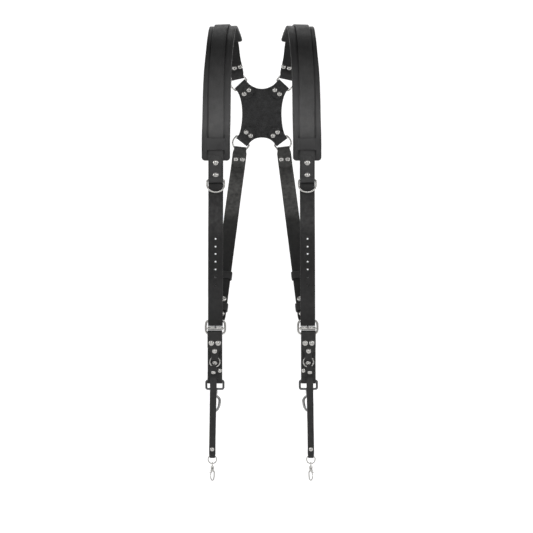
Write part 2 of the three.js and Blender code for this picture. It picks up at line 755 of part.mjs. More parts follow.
function backStrap() {
  const face = backFace;
  const seat = { origin: lowerHook.origin, along: lowerHook.along, face: FRONT };
  const turnPath = turnRound(seat, { ...RING_TURN, drop: lowerHook.drop });
  const flap = withTip([...turnPath], 7).slice(turnPath.length).reverse();
  const main = move(lowerHook.origin, FRONT, -RING_TURN.radius);
  const rows = [
    { p: move(main, lowerHook.along, 3), a: turnPath[0].a },
    { p: move(main, lowerHook.along, BACK_STRAIGHT), a: turnPath[0].a },
    ...[
      THREE.MathUtils.lerp(main.z, RETURN_TIP_Z, 0.33),
      THREE.MathUtils.lerp(main.z, RETURN_TIP_Z, 0.73),
      RETURN_TIP_Z,
      BACK_END_Z + 7,
    ].map((z) => ({ p: backAt(z), a: backAcross.clone().negate() })),
  ];
  const run = pathThrough(rows, 14);
  run.forEach((point) => {
    const fall = point.p.clone().sub(main).dot(lowerHook.along);
    point.w = RING_TURN.widthAt(fall);
  });
  const path = [...flap, ...[...turnPath].reverse(), ...run];
  const strap = strapAlong(withTip(path, 6));
  const holes = adjustSeats.map((place) => screwHole(place, face, ADJUST_GRIP));
  return cut(strap, ...holes);
}

// Keeper: a leather band round the back strap and the end of the front strap.
function keeper(z) {
  const middle = backAt(z, -(LEATHER + GAP) / 2);
  const halfWide = STRAP_WIDTH / 2 + GAP + KEEPER_WALL / 2 + 0.4;
  const halfThick = LEATHER + GAP / 2 + GAP + KEEPER_WALL / 2;
  const bend = 1.6;
  const corners = [
    [1, 1, 0],
    [-1, 1, 1],
    [-1, -1, 2],
    [1, -1, 3],
  ];
  const loop = corners.flatMap(([sx, sy, quarter]) =>
    [0, 0.5, 1].map((share) => {
      const angle = ((quarter + share) * Math.PI) / 2;
      const a = sx * (halfWide - bend) + bend * Math.cos(angle);
      const h = sy * (halfThick - bend) + bend * Math.sin(angle);
      return { p: move(move(middle, backAcross, a), backFace, h), a: backLine, w: KEEPER_WIDTH };
    }),
  );
  return sweep(
    loop,
    ({ w }) => [
      [-w / 2, -KEEPER_WALL / 2],
      [w / 2, -KEEPER_WALL / 2],
      [w / 2, KEEPER_WALL / 2],
      [-w / 2, KEEPER_WALL / 2],
    ],
    true,
  );
}

// Buckle: an oval frame with a pin across it for the roller, and a prong from its top bar.
const PRONG_RADIUS = 1.4;
const rollerAt = move(buckleBar, DOWN, ROLLER_DROP);

function buckleFrame() {
  const frame = wireAlong(
    placed(frameOutline(FRAME_HALF, FRAME_HEIGHT, 4), buckleBar, X, UP),
    FRAME_WIRE / 2,
    6,
    true,
  );
  const pin = rod(rollerAt, X, -FRAME_HALF, FRAME_HALF, ROLLER_PIN, 6);
  const tipY = rollerAt.y - ROLLER_RADIUS - GAP - PRONG_RADIUS - 0.1;
  const loopY = buckleBar.y - BAR_TURN;
  const prong = wireAlong(
    [
      { p: at(buckleBar.x, buckleBar.y, buckleBar.z - 0.3), a: X },
      { p: at(buckleBar.x, buckleBar.y - 1.3, buckleBar.z - 4), a: X },
      { p: at(buckleBar.x, loopY + 0.6, buckleBar.z - 7.4), a: X },
      { p: at(buckleBar.x, Math.min(loopY - 0.6, tipY), buckleBar.z - 11), a: X },
      { p: at(buckleBar.x, tipY, rollerAt.z + 0.6), a: X, r: PRONG_RADIUS * 0.8 },
    ],
    PRONG_RADIUS,
    6,
  );
  return joined(frame, pin, prong);
}

function roller() {
  const half = FRAME_HALF - FRAME_WIRE / 2 - 1.2;
  const hollow = ROLLER_PIN + GAP;
  return turned(
    rollerAt,
    X,
    [
      [hollow, -half],
      [ROLLER_RADIUS, -half],
      [ROLLER_RADIUS, half],
      [hollow, half],
      [hollow, -half],
    ],
    10,
  );
}

// Leash: one strip. From the small tongue behind the O-ring it goes round that ring, up the front,
// over the buckle's bottom bar, down the back, round the snap's eye and up again in front.
const LEASH_BACK = -BUCKLE_DEPTH + BAR_TURN;
const eyeBar = at(BUCKLE_X + 1, LEASH_BACK - turnRadius(EYE_WIRE), leashBar.z - LEASH_LENGTH);
const O_TURN = turnRadius(O_RING_WIRE);
const SAFETY_RISE = 14.4; // from the eye's bar up to the safety strap's rivet
const SAFETY_END = 9; // from that rivet up to the strap's end
const O_RING_SPAN = 2 * O_RING_RADIUS + O_RING_WIRE / 2;
const O_RING_Z = eyeBar.z + SAFETY_RISE + SAFETY_END + O_RING_SPAN + GAP; // its wire's top
const oRingTop = at(BUCKLE_X + 1, LEASH_BACK - LEATHER - 2 * GAP - O_TURN, O_RING_Z);
const LOWER_FLAP_TIP = oRingTop.z - O_RING_RADIUS + 2 * GAP; // the lower flap's tip
const LEASH_PAIR_DROP = 16.3; // from the buckle's bottom bar to the pair of screws
const leashPairZ = leashBar.z - LEASH_PAIR_DROP;
const LEASH_X = BUCKLE_X + 1;

function leashFrontY(z) {
  const top = -BUCKLE_DEPTH - BAR_TURN;
  const low = oRingTop.y - O_TURN;
  return THREE.MathUtils.mapLinear(z, leashBar.z, oRingTop.z, top, low);
}
const LEASH_GRIP = LEASH_BACK - leashFrontY(leashPairZ) + LEATHER;
const leashSeats = [-1, 1].map((side) =>
  at(
    LEASH_X + (side * SCREW_SPREAD) / 2,
    leashFrontY(leashPairZ) - LEATHER / 2,
    leashPairZ,
  ),
);

const O_FLAP_WIDTH = 12.4; // the leash's tongue round the O-ring

function leash() {
  const small = O_FLAP_WIDTH;
  const step = (x, y, z, w) => ({ p: at(x, y, z), a: X, w });
  const turnAt = (centre, radius, width, down) =>
    count(TURN_STEPS + 1).map((i) => {
      const angle = Math.PI * (i / TURN_STEPS - 0.5);
      const y = centre.y - radius * Math.sin(angle);
      return step(centre.x, y, centre.z - down * radius * Math.cos(angle), width);
    });
  const taper = (z) =>
    THREE.MathUtils.lerp(small, LEASH_WIDTH, smooth((z - oRingTop.z - 6) / 12));
  const behind = [16, 8].map((rise) =>
    step(LEASH_X, oRingTop.y + O_TURN, oRingTop.z + rise, small),
  );
  const roundO = turnAt(
    move(oRingTop, DOWN, bowDrop(O_RING_RADIUS, small)),
    O_TURN,
    small,
    1,
  );
  const clear = leashBar.z - oRingTop.z - 2 * BAR_TURN;
  const front = [0.15, 0.29, 0.41, 0.53, 1].map((share) => {
    const z = oRingTop.z + share * clear;
    return step(LEASH_X, leashFrontY(z), z, taper(z));
  });
  const overBar = turnAt(at(LEASH_X, leashBar.y, leashBar.z), BAR_TURN, LEASH_WIDTH, -1);
  overBar.reverse();
  const main = [20, 76].map((fall) =>
    step(LEASH_X, LEASH_BACK, leashBar.z - fall, LEASH_WIDTH),
  );
  const lower = turnRound(
    { origin: eyeBar, along: UP, face: FRONT },
    {
      radius: turnRadius(EYE_WIRE),
      close: 11,
      lap: LOWER_FLAP_TIP - 9 - eyeBar.z,
      rest: LEATHER + GAP - turnRadius(EYE_WIRE),
      widthAt: (u) =>
        THREE.MathUtils.lerp(LEASH_WIDTH, small + 4, smooth((u - 20) / 11)),
    },
  );
  const path = [...behind, ...roundO, ...front, ...overBar, ...main, ...lower];
  const strap = strapAlong(withTip(path, 8));
  const holes = leashSeats.map((seat) => screwHole(seat, FRONT, LEASH_GRIP));
  const seats = leashSeats.map((seat) => screwSeat(seat, FRONT));
  return cut(strap, ...holes, ...seats);
}

const ring = (centre, radius, wire, steps, sides) =>
  wireAlong(placed(circle(radius, steps), centre, X, UP), wire / 2, sides, true);

// Snap: a square eye with a swivel barrel, a hook that turns on it, and a sprung gate.
const eyeLow = move(eyeBar, DOWN, EYE_HEIGHT);
const SWIVEL_RADIUS = 2;
const hookTop = move(eyeLow, DOWN, EYE_WIRE / 2 + GAP);

function snapEye() {
  const eye = wireAlong(
    placed(frameOutline(EYE_HALF, EYE_HEIGHT, 2.4), eyeBar, X, UP),
    EYE_WIRE / 2,
    6,
    true,
  );
  const stem = turned(eyeLow, DOWN, [
    [0, 0],
    [SWIVEL_RADIUS, 0],
    [SWIVEL_RADIUS, 6.6],
    [SWIVEL_RADIUS + 1.2, 6.6],
    [SWIVEL_RADIUS + 1.2, 8],
    [0, 8],
  ]);
  return joined(eye, stem);
}

// The hook's course below its collar: columns are x and fall as shares of HOOK_HALF and
// HOOK_LENGTH, and the wire's radius as a share of its usual one.
const HOOK_COURSE = [
  [-0.12, 0.255, 0.9],
  [-0.72, 0.33, 1.05],
  [-1.05, 0.46, 1.2],
  [-1.02, 0.62, 1.15],
  [-0.78, 0.82, 1],
  [-0.3, 0.95, 0.95],
  [0.3, 0.95, 0.9],
  [0.8, 0.82, 0.85],
  [0.98, 0.68, 0.8],
];
const hookPoint = (x, fall) => at(eyeLow.x + x * HOOK_HALF, eyeLow.y, hookTop.z - fall * HOOK_LENGTH);

// Two cheeks with the end of a gate or lever between them, at its pivot.
function cheeks(pivot, radius, thick, height) {
  return [-1, 1].map((side) => {
    const box = new THREE.BoxGeometry(3 * radius, thick, height);
    box.deleteAttribute("normal");
    box.deleteAttribute("uv");
    const y = pivot.y + side * (radius + GAP + thick / 2);
    return box.translate(pivot.x - radius / 2, y, pivot.z - radius + height / 2);
  });
}

const GATE_RADIUS = 1.7; // at its pivot
const gatePivot = hookPoint(0.62, 0.31);

function snapHook() {
  const wire = wireAlong(
    HOOK_COURSE.map(([x, fall, r]) => ({
      p: hookPoint(x, fall),
      a: FRONT,
      r: (r * HOOK_WIRE) / 2,
    })),
    HOOK_WIRE / 2,
    6,
  );
  const bore = SWIVEL_RADIUS + GAP;
  const well = SWIVEL_RADIUS + 1.2 + GAP;
  const skin = well + 1.4;
  const collar = turned(hookTop, DOWN, [
    [bore, 0],
    [skin, 0],
    [skin, 6],
    [skin - 1.8, 11],
    [0, 11],
    [0, 6.6],
    [well, 6.6],
    [well, 3.4],
    [bore, 3.4],
    [bore, 0],
  ]);
  const outlet = rod(move(hookTop, DOWN, 5), FRONT, 0, skin + 1, 1.2, 6);
  return cut(joined(collar, wire, ...cheeks(gatePivot, GATE_RADIUS, 1.1, 7)), outlet);
}

function snapGate() {
  const tip = hookPoint(0.98, 0.68);
  const end = move(tip, UP, HOOK_WIRE * 0.4 + GAP + 0.9);
  return wireAlong(
    [
      { p: gatePivot, a: FRONT, r: GATE_RADIUS },
      { p: end, a: FRONT, r: 1.4 },
    ],
    1.6,
  );
}

// Safety strap: riveted over the lower flap of the leash, it hangs clear in front of the snap and
// ends in a fold round a small ring.
const safetyTop = at(LEASH_X + 2.4, LEASH_BACK - 2 * (LEATHER + GAP) + GAP, eyeBar.z + SAFETY_RISE);
const SAFETY_FRONT = -BUCKLE_DEPTH - SAFETY_CLEAR;
const SAFETY_TURN = turnRadius(CLASP_RING_WIRE, SAFETY_THICK);
const SAFETY_LEAN = 1.8; // how far its lower end lies further out than its upper one
const claspRingTop = at(
  safetyTop.x + SAFETY_LEAN,
  SAFETY_FRONT + 3,
  safetyTop.z - SAFETY_LENGTH,
);

function safetyStrap() {
  const foldWidth = SAFETY_WIDTH * 0.93;
  const tip = 5;
  const row = (x, behind, fall, w = SAFETY_WIDTH) => ({
    p: at(safetyTop.x + x, SAFETY_FRONT + behind, safetyTop.z - fall * SAFETY_LENGTH),
    a: X,
    w,
  });
  const back = safetyTop.y - SAFETY_FRONT;
  const rows = [
    { p: move(safetyTop, UP, SAFETY_END - tip), a: X, w: SAFETY_WIDTH },
    row(0, back, 0.014),
    row(0, back / 2, 0.062),
    row(0, 0, 0.185),
    row(0.6, 0, 0.41),
    row(1.4, 2, 0.72, foldWidth),
    row(SAFETY_LEAN, 3 - SAFETY_TURN, 0.93, foldWidth),
  ];
  const turnPath = turnRound(
    { origin: claspRingTop, along: UP, face: BACK },
    {
      radius: SAFETY_TURN,
      drop: bowDrop(CLASP_RING_RADIUS, foldWidth),
      width: foldWidth,
      close: 5,
      lap: 9,
      rest: SAFETY_THICK + GAP - SAFETY_TURN,
    },
  ).map((point) => ({ ...point, a: X }));
  const path = [rows[0], ...pathThrough(rows.slice(1), 12), ...turnPath];
  return strapAlong(withBothTips(path, tip), SAFETY_THICK);
}

// Small clasp: a swivel eye on the ring, a body with a hooked end and a sprung lever.
const claspRingCentre = move(claspRingTop, DOWN, CLASP_RING_RADIUS);
const claspEyeTop = move(
  claspRingCentre,
  DOWN,
  CLASP_RING_RADIUS - CLASP_RING_WIRE / 2 - CLASP_WIRE / 2 - GAP,
);
const EYE_LOOP = 2.7;
const claspEyeCentre = move(claspEyeTop, DOWN, EYE_LOOP);
const claspTop = move(claspEyeCentre, DOWN, EYE_LOOP + CLASP_WIRE / 2 + GAP);

function claspEye() {
  const loop = wireAlong(
    placed(circle(EYE_LOOP, 10), claspEyeCentre, BACK, UP),
    CLASP_WIRE / 2 - 0.2,
    6,
    true,
  );
  const stem = turned(
    move(claspEyeCentre, DOWN, EYE_LOOP),
    DOWN,
    [
      [0, 0],
      [1, 0],
      [1, 4.4],
      [1.7, 4.4],
      [1.7, 5.4],
      [0, 5.4],
    ],
    8,
  );
  return joined(loop, stem);
}

const CLASP_COURSE = [
  [-0.3, 0.225, 1],
  [-0.9, 0.4, 1.1],
  [-0.95, 0.7, 1.05],
  [-0.55, 0.92, 1],
  [0.1, 0.97, 0.95],
  [0.7, 0.86, 0.9],
  [0.95, 0.7, 0.8],
];
const claspPoint = (x, fall) =>
  at(claspTop.x + x * CLASP_HALF, claspTop.y, claspTop.z - fall * CLASP_LENGTH);

const LEVER_RADIUS = 1;
const leverPivot = claspPoint(0.72, 0.44);

function claspBody() {
  const wire = wireAlong(
    CLASP_COURSE.map(([x, fall, r]) => ({
      p: claspPoint(x, fall),
      a: FRONT,
      r: (r * CLASP_WIRE) / 2,
    })),
    CLASP_WIRE / 2,
    6,
  );
  const collar = turned(
    claspTop,
    DOWN,
    [
      [1.3, 0],
      [2.9, 0],
      [2.9, 8.4],
      [2.2, 9.8],
      [0, 9.8],
      [0, 5],
      [2, 5],
      [2, 2.2],
      [1.3, 2.2],
      [1.3, 0],
    ],
    8,
  );
  const outlet = rod(move(claspTop, DOWN, 3.6), FRONT, 0, 4, 0.8, 6);
  return cut(joined(collar, wire, ...cheeks(leverPivot, LEVER_RADIUS, 0.7, 6)), outlet);
}

function claspLever() {
  const tip = move(claspPoint(0.95, 0.7), UP, CLASP_WIRE * 0.4 + GAP + 0.7);
  const thumb = at(leverPivot.x + 2.4, leverPivot.y, leverPivot.z + 0.4);
  return wireAlong(
    [
      { p: thumb, a: FRONT, r: 0.8 },
      { p: leverPivot, a: FRONT, r: LEVER_RADIUS },
      { p: tip, a: FRONT, r: 0.8 },
    ],
    1,
    6,
  );
}

// One side of the harness, as the wearer's left; the right is its mirror image.
const SIDE = [
  ["pad", BLACK_LEATHER, pad],
  ["shoulder_strap", BLACK_LEATHER, shoulderStrap],
  ["front_strap", BLACK_LEATHER, frontStrap],
  ["back_strap", BLACK_LEATHER, backStrap],
  ["keeper_upper", BLACK_LEATHER, () => keeper(KEEPER_ZS[0])],
  ["keeper_lower", BLACK_LEATHER, () => keeper(KEEPER_ZS[1])],
  ["leash", BLACK_LEATHER, leash],
  ["safety_strap", BLACK_LEATHER, safetyStrap],
  ["yoke_ring_upper", NICKEL, () => yokeRing(UPPER_ARM)],
  ["yoke_ring_lower", NICKEL, () => yokeRing(LOWER_ARM)],
  [
    "front_ring",
    NICKEL,
    () => wireAlong(placed(ringOutline(), frontBar, X, DOWN), RING_WIRE / 2, 6, true),
  ],
  ["buckle_frame", NICKEL, buckleFrame],
  ["buckle_roller", NICKEL, roller],
  [
    "o_ring",
    NICKEL,
    () => ring(move(oRingTop, DOWN, O_RING_RADIUS), O_RING_RADIUS, O_RING_WIRE, 16, 6),
  ],
  ["snap_eye", DARK_NICKEL, snapEye],
  ["snap_hook", DARK_NICKEL, snapHook],
  ["snap_gate", DARK_NICKEL, snapGate],
  [
    "clasp_ring",
    NICKEL,
    () => ring(claspRingCentre, CLASP_RING_RADIUS, CLASP_RING_WIRE, 16, 6),
  ],
  ["clasp_eye", NICKEL, claspEye],
  ["clasp_body", NICKEL, claspBody],
  ["clasp_lever", NICKEL, claspLever],
  ...tongueSeats.map((seat, i) => [
    "tongue_screw_" + ["lower", "upper"][i],
    NICKEL,
    () => screw(seat, FRONT, TONGUE_GRIP),
  ]),
  ...adjustSeats.map((seat, i) => [
    "adjusting_screw_" + ["upper_in", "upper_out", "lower_in", "lower_out"][i],
    NICKEL,
    () => screw(seat, backFace, ADJUST_GRIP),
  ]),
  ...leashSeats.map((seat, i) => [
    "leash_screw_" + ["in", "out"][i],
    NICKEL,
    () => screw(seat, FRONT, LEASH_GRIP),
  ]),
];

function named(name, finish, geometry) {
  const mesh = new THREE.Mesh(geometry, new THREE.MeshStandardMaterial(finish));
  mesh.name = name;
  return mesh;
}

const harness = new THREE.Group();
harness.add(named("yoke", BLACK_LEATHER, yoke()));
const sides = { left: new THREE.Group(), right: new THREE.Group() };
sides.right.scale.x = -1;
for (const [name, finish, make] of SIDE) {
  const geometry = make();
  for (const [hand, group] of Object.entries(sides)) {
    group.add(named(name + "_" + hand, finish, geometry));
  }
}
harness.add(sides.left, sides.right);

export default harness;
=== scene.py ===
# A leather shoulder harness as it hangs on its wearer. Lengths in the sections are millimetres,
# +Z up, -Y to the front and +X to the wearer's left; put_in turns them into metres.
import math

import bpy
import numpy as np
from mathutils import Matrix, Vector, geometry


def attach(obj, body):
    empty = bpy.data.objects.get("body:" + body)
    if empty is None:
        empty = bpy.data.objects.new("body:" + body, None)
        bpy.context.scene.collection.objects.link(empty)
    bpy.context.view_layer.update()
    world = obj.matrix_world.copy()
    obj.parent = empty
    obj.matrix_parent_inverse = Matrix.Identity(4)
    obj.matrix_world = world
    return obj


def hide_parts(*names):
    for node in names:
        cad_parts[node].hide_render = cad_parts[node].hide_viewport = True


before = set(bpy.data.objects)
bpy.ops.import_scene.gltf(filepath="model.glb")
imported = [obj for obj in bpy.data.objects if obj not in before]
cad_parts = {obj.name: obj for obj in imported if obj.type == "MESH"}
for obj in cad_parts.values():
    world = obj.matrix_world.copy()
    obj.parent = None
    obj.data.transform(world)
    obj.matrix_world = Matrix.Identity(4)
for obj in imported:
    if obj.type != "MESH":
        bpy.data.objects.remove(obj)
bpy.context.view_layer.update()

# Yoke: one piece of black leather with a fine pebbled grain, 3 mm thick, between the shoulder
# blades. Each of its four arms is folded round a ring and riveted down, and a crease runs along
# its edge.


def vec(*numbers):
    """A point or direction as an array."""
    return np.array(numbers, float)


def unit(v):
    """v divided by its length."""
    return v / np.linalg.norm(v)


def leather(name, colour, rough, grain, depth, patch, mottle=0.25, relief=0.0004, painted_light=None, gloss=0.5):
    """Principled leather: colour and roughness vary with noise of patch spots per metre, and the bump is
    small cells, grain of them per metre and relief metres high, with finer noise on top. painted_light,
    a list of (height, share), scales the colour by that share at each height: painted light and shade."""
    m = bpy.data.materials.new(name)
    m.use_nodes = True
    nt = m.node_tree
    b = nt.nodes["Principled BSDF"]
    where = nt.nodes.new("ShaderNodeTexCoord").outputs["Object"]

    def noise(scale, detail):
        """Noise with scale spots per metre."""
        n = nt.nodes.new("ShaderNodeTexNoise")
        n.inputs["Scale"].default_value = scale
        n.inputs["Detail"].default_value = detail
        nt.links.new(where, n.inputs["Vector"])
        return n.outputs["Fac"]

    def spread(source, low, high):
        """The middle of a noise, 0.3 to 0.7, spread evenly over low to high."""
        r = nt.nodes.new("ShaderNodeMapRange")
        r.inputs["From Min"].default_value = 0.3
        r.inputs["From Max"].default_value = 0.7
        r.inputs["To Min"].default_value = low
        r.inputs["To Max"].default_value = high
        nt.links.new(source, r.inputs["Value"])
        return r.outputs["Result"]

    slow = noise(patch, 4)
    fine = noise(grain * 1.7, 4)
    tint = nt.nodes.new("ShaderNodeMix")
    tint.data_type = "RGBA"
    tint.inputs["A"].default_value = [c * (1 - mottle) for c in colour] + [1]
    tint.inputs["B"].default_value = [c * (1 + 1.6 * mottle) for c in colour] + [1]
    nt.links.new(spread(slow, 0, 1), tint.inputs["Factor"])
    shade = tint.outputs["Result"]
    # Painted light and shade: the colour is scaled by a share that changes with height.
    if painted_light:
        split = nt.nodes.new("ShaderNodeSeparateXYZ")
        nt.links.new(where, split.inputs["Vector"])
        share = nt.nodes.new("ShaderNodeMapRange")
        share.inputs["From Min"].default_value = painted_light[0][0]
        share.inputs["From Max"].default_value = painted_light[-1][0]
        nt.links.new(split.outputs["Z"], share.inputs["Value"])
        ramp = nt.nodes.new("ShaderNodeValToRGB")
        stops = ramp.color_ramp.elements
        while len(stops) < len(painted_light):
            stops.new(0.5)
        for stop, (height, left) in zip(stops, painted_light):
            stop.position = (height - painted_light[0][0]) / (painted_light[-1][0] - painted_light[0][0])
            stop.color = (left, left, left, 1)
        nt.links.new(share.outputs["Result"], ramp.inputs["Fac"])
        painted_light_mix = nt.nodes.new("ShaderNodeMix")
        painted_light_mix.data_type = "RGBA"
        painted_light_mix.blend_type = "MULTIPLY"
        painted_light_mix.inputs["Factor"].default_value = 1
        nt.links.new(shade, painted_light_mix.inputs["A"])
        nt.links.new(ramp.outputs["Color"], painted_light_mix.inputs["B"])
        shade = painted_light_mix.outputs["Result"]
    nt.links.new(shade, b.inputs["Base Color"])
    nt.links.new(spread(slow, rough - 0.1, rough + 0.12), b.inputs["Roughness"])
    cells = nt.nodes.new("ShaderNodeTexVoronoi")
    cells.inputs["Scale"].default_value = grain
    nt.links.new(where, cells.inputs["Vector"])
    add = nt.nodes.new("ShaderNodeMath")
    add.operation = "MULTIPLY_ADD"
    nt.links.new(fine, add.inputs[0])
    add.inputs[1].default_value = 0.8
    nt.links.new(cells.outputs["Distance"], add.inputs[2])
    bump = nt.nodes.new("ShaderNodeBump")
    bump.inputs["Strength"].default_value = depth
    bump.inputs["Distance"].default_value = relief
    nt.links.new(add.outputs["Value"], bump.inputs["Height"])
    wave = nt.nodes.new("ShaderNodeBump")
    wave.inputs["Strength"].default_value = 0.5 * depth
    wave.inputs["Distance"].default_value = 0.0012
    nt.links.new(slow, wave.inputs["Height"])
    nt.links.new(bump.outputs["Normal"], wave.inputs["Normal"])
    nt.links.new(wave.outputs["Normal"], b.inputs["Normal"])
    b.inputs["Specular IOR Level"].default_value = gloss
    return m


YOKE_LEATHER = leather("yoke_leather", (0.02, 0.02, 0.0205), 0.48, 420, 1.0, 150, 0.5, 0.0012)
STRAP_LEATHER = leather("strap_leather", (0.013, 0.0125, 0.0125), 0.4, 800, 0.6, 230, 0.35, 0.0005)


def put_in(name, verts, faces, material, slot, node=None, body="harness", hands=("left", "right")):
    """A piece from points in millimetres, on the wearer's left and mirrored on the right. It rides on
    its body and stands for its CAD node."""
    made = []
    for hand in hands:
        side = -1 if hand == "right" else 1
        full = name if hand is None else f"{name}_{hand}"
        mesh = bpy.data.meshes.new(full)
        points = np.asarray(verts) * [side, 1, 1] / 1000
        turned = [f[::-1] for f in faces] if side < 0 else faces
        mesh.from_pydata(points.tolist(), [], turned)
        mesh.update()
        mesh.shade_smooth()
        mesh.materials.append(material)
        obj = bpy.data.objects.new(full, mesh)
        bpy.context.scene.collection.objects.link(obj)
        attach(obj, body if body == "harness" else f"{body}_{hand}")
        if node:
            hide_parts(node if hand is None else f"{node}_{hand}")
        made.append(obj)
    return made


class Course:
    """The middle line of a strap: even points p, its across directions a, and the direction n that
    its outer side faces, along x across. Smoothed with a (1, 2, 1) average."""

    def __init__(self, rows, step=1.0, smooth=2):
        """Rows of (point, across), joined by straight lines, with a new point every step."""
        pts = np.array([r[0] for r in rows], float)
        acr = np.array([r[1] for r in rows], float)
        gaps = np.linalg.norm(np.diff(pts, axis=0), axis=1)
        keep = np.r_[True, gaps > 1e-6]
        pts, acr = pts[keep], acr[keep]
        s = np.r_[0, np.cumsum(np.linalg.norm(np.diff(pts, axis=0), axis=1))]
        count = max(int(round(s[-1] / step)), 2)
        even = np.linspace(0, s[-1], count + 1)
        self.p = np.stack([np.interp(even, s, pts[:, k]) for k in range(3)], 1)
        self.a = np.stack([np.interp(even, s, acr[:, k]) for k in range(3)], 1)
        for _ in range(smooth):
            for x in (self.p, self.a):
                x[1:-1] = (x[:-2] + 2 * x[1:-1] + x[2:]) / 4
        self.s = np.r_[0, np.cumsum(np.linalg.norm(np.diff(self.p, axis=0), axis=1))]
        self.long = self.s[-1]
        t = np.gradient(self.p, axis=0)
        t /= np.linalg.norm(t, axis=1)[:, None]
        self.a -= t * (self.a * t).sum(1)[:, None]
        self.a /= np.linalg.norm(self.a, axis=1)[:, None]
        self.n = np.cross(t, self.a)

    def at(self, s, t, h):
        """The point s along, t across and h out; beyond the ends it goes straight on."""
        s, t, h = (np.atleast_1d(np.asarray(x, float)) for x in (s, t, h))
        inner = np.clip(s, 0, self.long)
        mix = lambda x: np.stack([np.interp(inner, self.s, x[:, k]) for k in range(3)], 1)
        ends = unit(self.p[1] - self.p[0]), unit(self.p[-1] - self.p[-2])
        over = np.where((s < inner)[:, None], ends[0], ends[1]) * (s - inner)[:, None]
        return mix(self.p) + mix(self.a) * t[:, None] + mix(self.n) * h[:, None] + over

    def nearest(self, x, z, low=0.0, high=1.0):
        """How far along, within shares low to high, the line comes nearest to x and z."""
        i0, i1 = int(low * (len(self.s) - 1)), int(high * (len(self.s) - 1)) + 1
        d = np.hypot(self.p[i0:i1, 0] - x, self.p[i0:i1, 2] - z)
        return self.s[i0 + int(np.argmin(d))]


def inset_ring(ring, d):
    """The closed outline moved inwards by d, each corner along its mitre."""
    before, after = np.roll(ring, 1, 0), np.roll(ring, -1, 0)
    e0, e1 = ring - before, after - ring
    e0 /= np.linalg.norm(e0, axis=1)[:, None] + 1e-12
    e1 /= np.linalg.norm(e1, axis=1)[:, None] + 1e-12
    n0, n1 = np.c_[-e0[:, 1], e0[:, 0]], np.c_[-e1[:, 1], e1[:, 0]]
    m = n0 + n1
    m /= np.linalg.norm(m, axis=1)[:, None] + 1e-12
    return ring + m * (d / np.clip((m * n0).sum(1), 0.6, 1))[:, None]


def inside(points, ring):
    """Which points lie inside the closed outline, by the crossing rule."""
    x, y = points[:, 0][:, None], points[:, 1][:, None]
    x0, y0 = ring[:, 0][None], ring[:, 1][None]
    x1, y1 = np.roll(x0, -1), np.roll(y0, -1)
    slope = np.where(np.abs(y1 - y0) < 1e-12, 1e-12, y1 - y0)
    crosses = ((y0 > y) != (y1 > y)) & (x < (x1 - x0) * (y - y0) / slope + x0)
    return crosses.sum(1) % 2 == 1


def spaced(ring, gap):
    """The closed outline with points no further than gap apart."""
    out = []
    for p, q in zip(ring, np.roll(ring, -1, 0)):
        parts = max(int(math.ceil(np.linalg.norm(q - p) / gap)), 1)
        out.append(p + np.outer(np.arange(parts) / parts, q - p))
    return np.concatenate(out)


def quads(rows, cols, shut_rows=False, shut_cols=True):
    """Faces of a grid of rows by cols points, numbered row by row. Either way it may close on
    itself."""
    number = np.arange(rows * cols).reshape(rows, cols)
    if shut_rows:
        number = np.vstack([number, number[:1]])
    if shut_cols:
        number = np.hstack([number, number[:, :1]])
    return np.stack([number[:-1, :-1], number[:-1, 1:], number[1:, 1:], number[1:, :-1]], -1).reshape(-1, 4)


def facing(verts, faces):
    """The faces, turned outwards if the closed surface holds a negative volume: the sum of
    p0 . (p1 x p2) over its triangles."""
    v, total = np.asarray(verts), 0.0
    for size in {len(f) for f in faces}:
        f = np.array([face for face in faces if len(face) == size])
        for i in range(1, size - 1):
            total += (v[f[:, 0]] * np.cross(v[f[:, i]], v[f[:, i + 1]])).sum()
    return faces if total > 0 else [f[::-1] for f in faces]


def joined(parts):
    """The points and faces of several bodies as one list of each."""
    starts = np.cumsum([0] + [len(v) for v, _ in parts])
    faces = [[int(start) + i for i in face] for (_, f), start in zip(parts, starts) for face in f]
    return np.concatenate([v for v, _ in parts]), faces


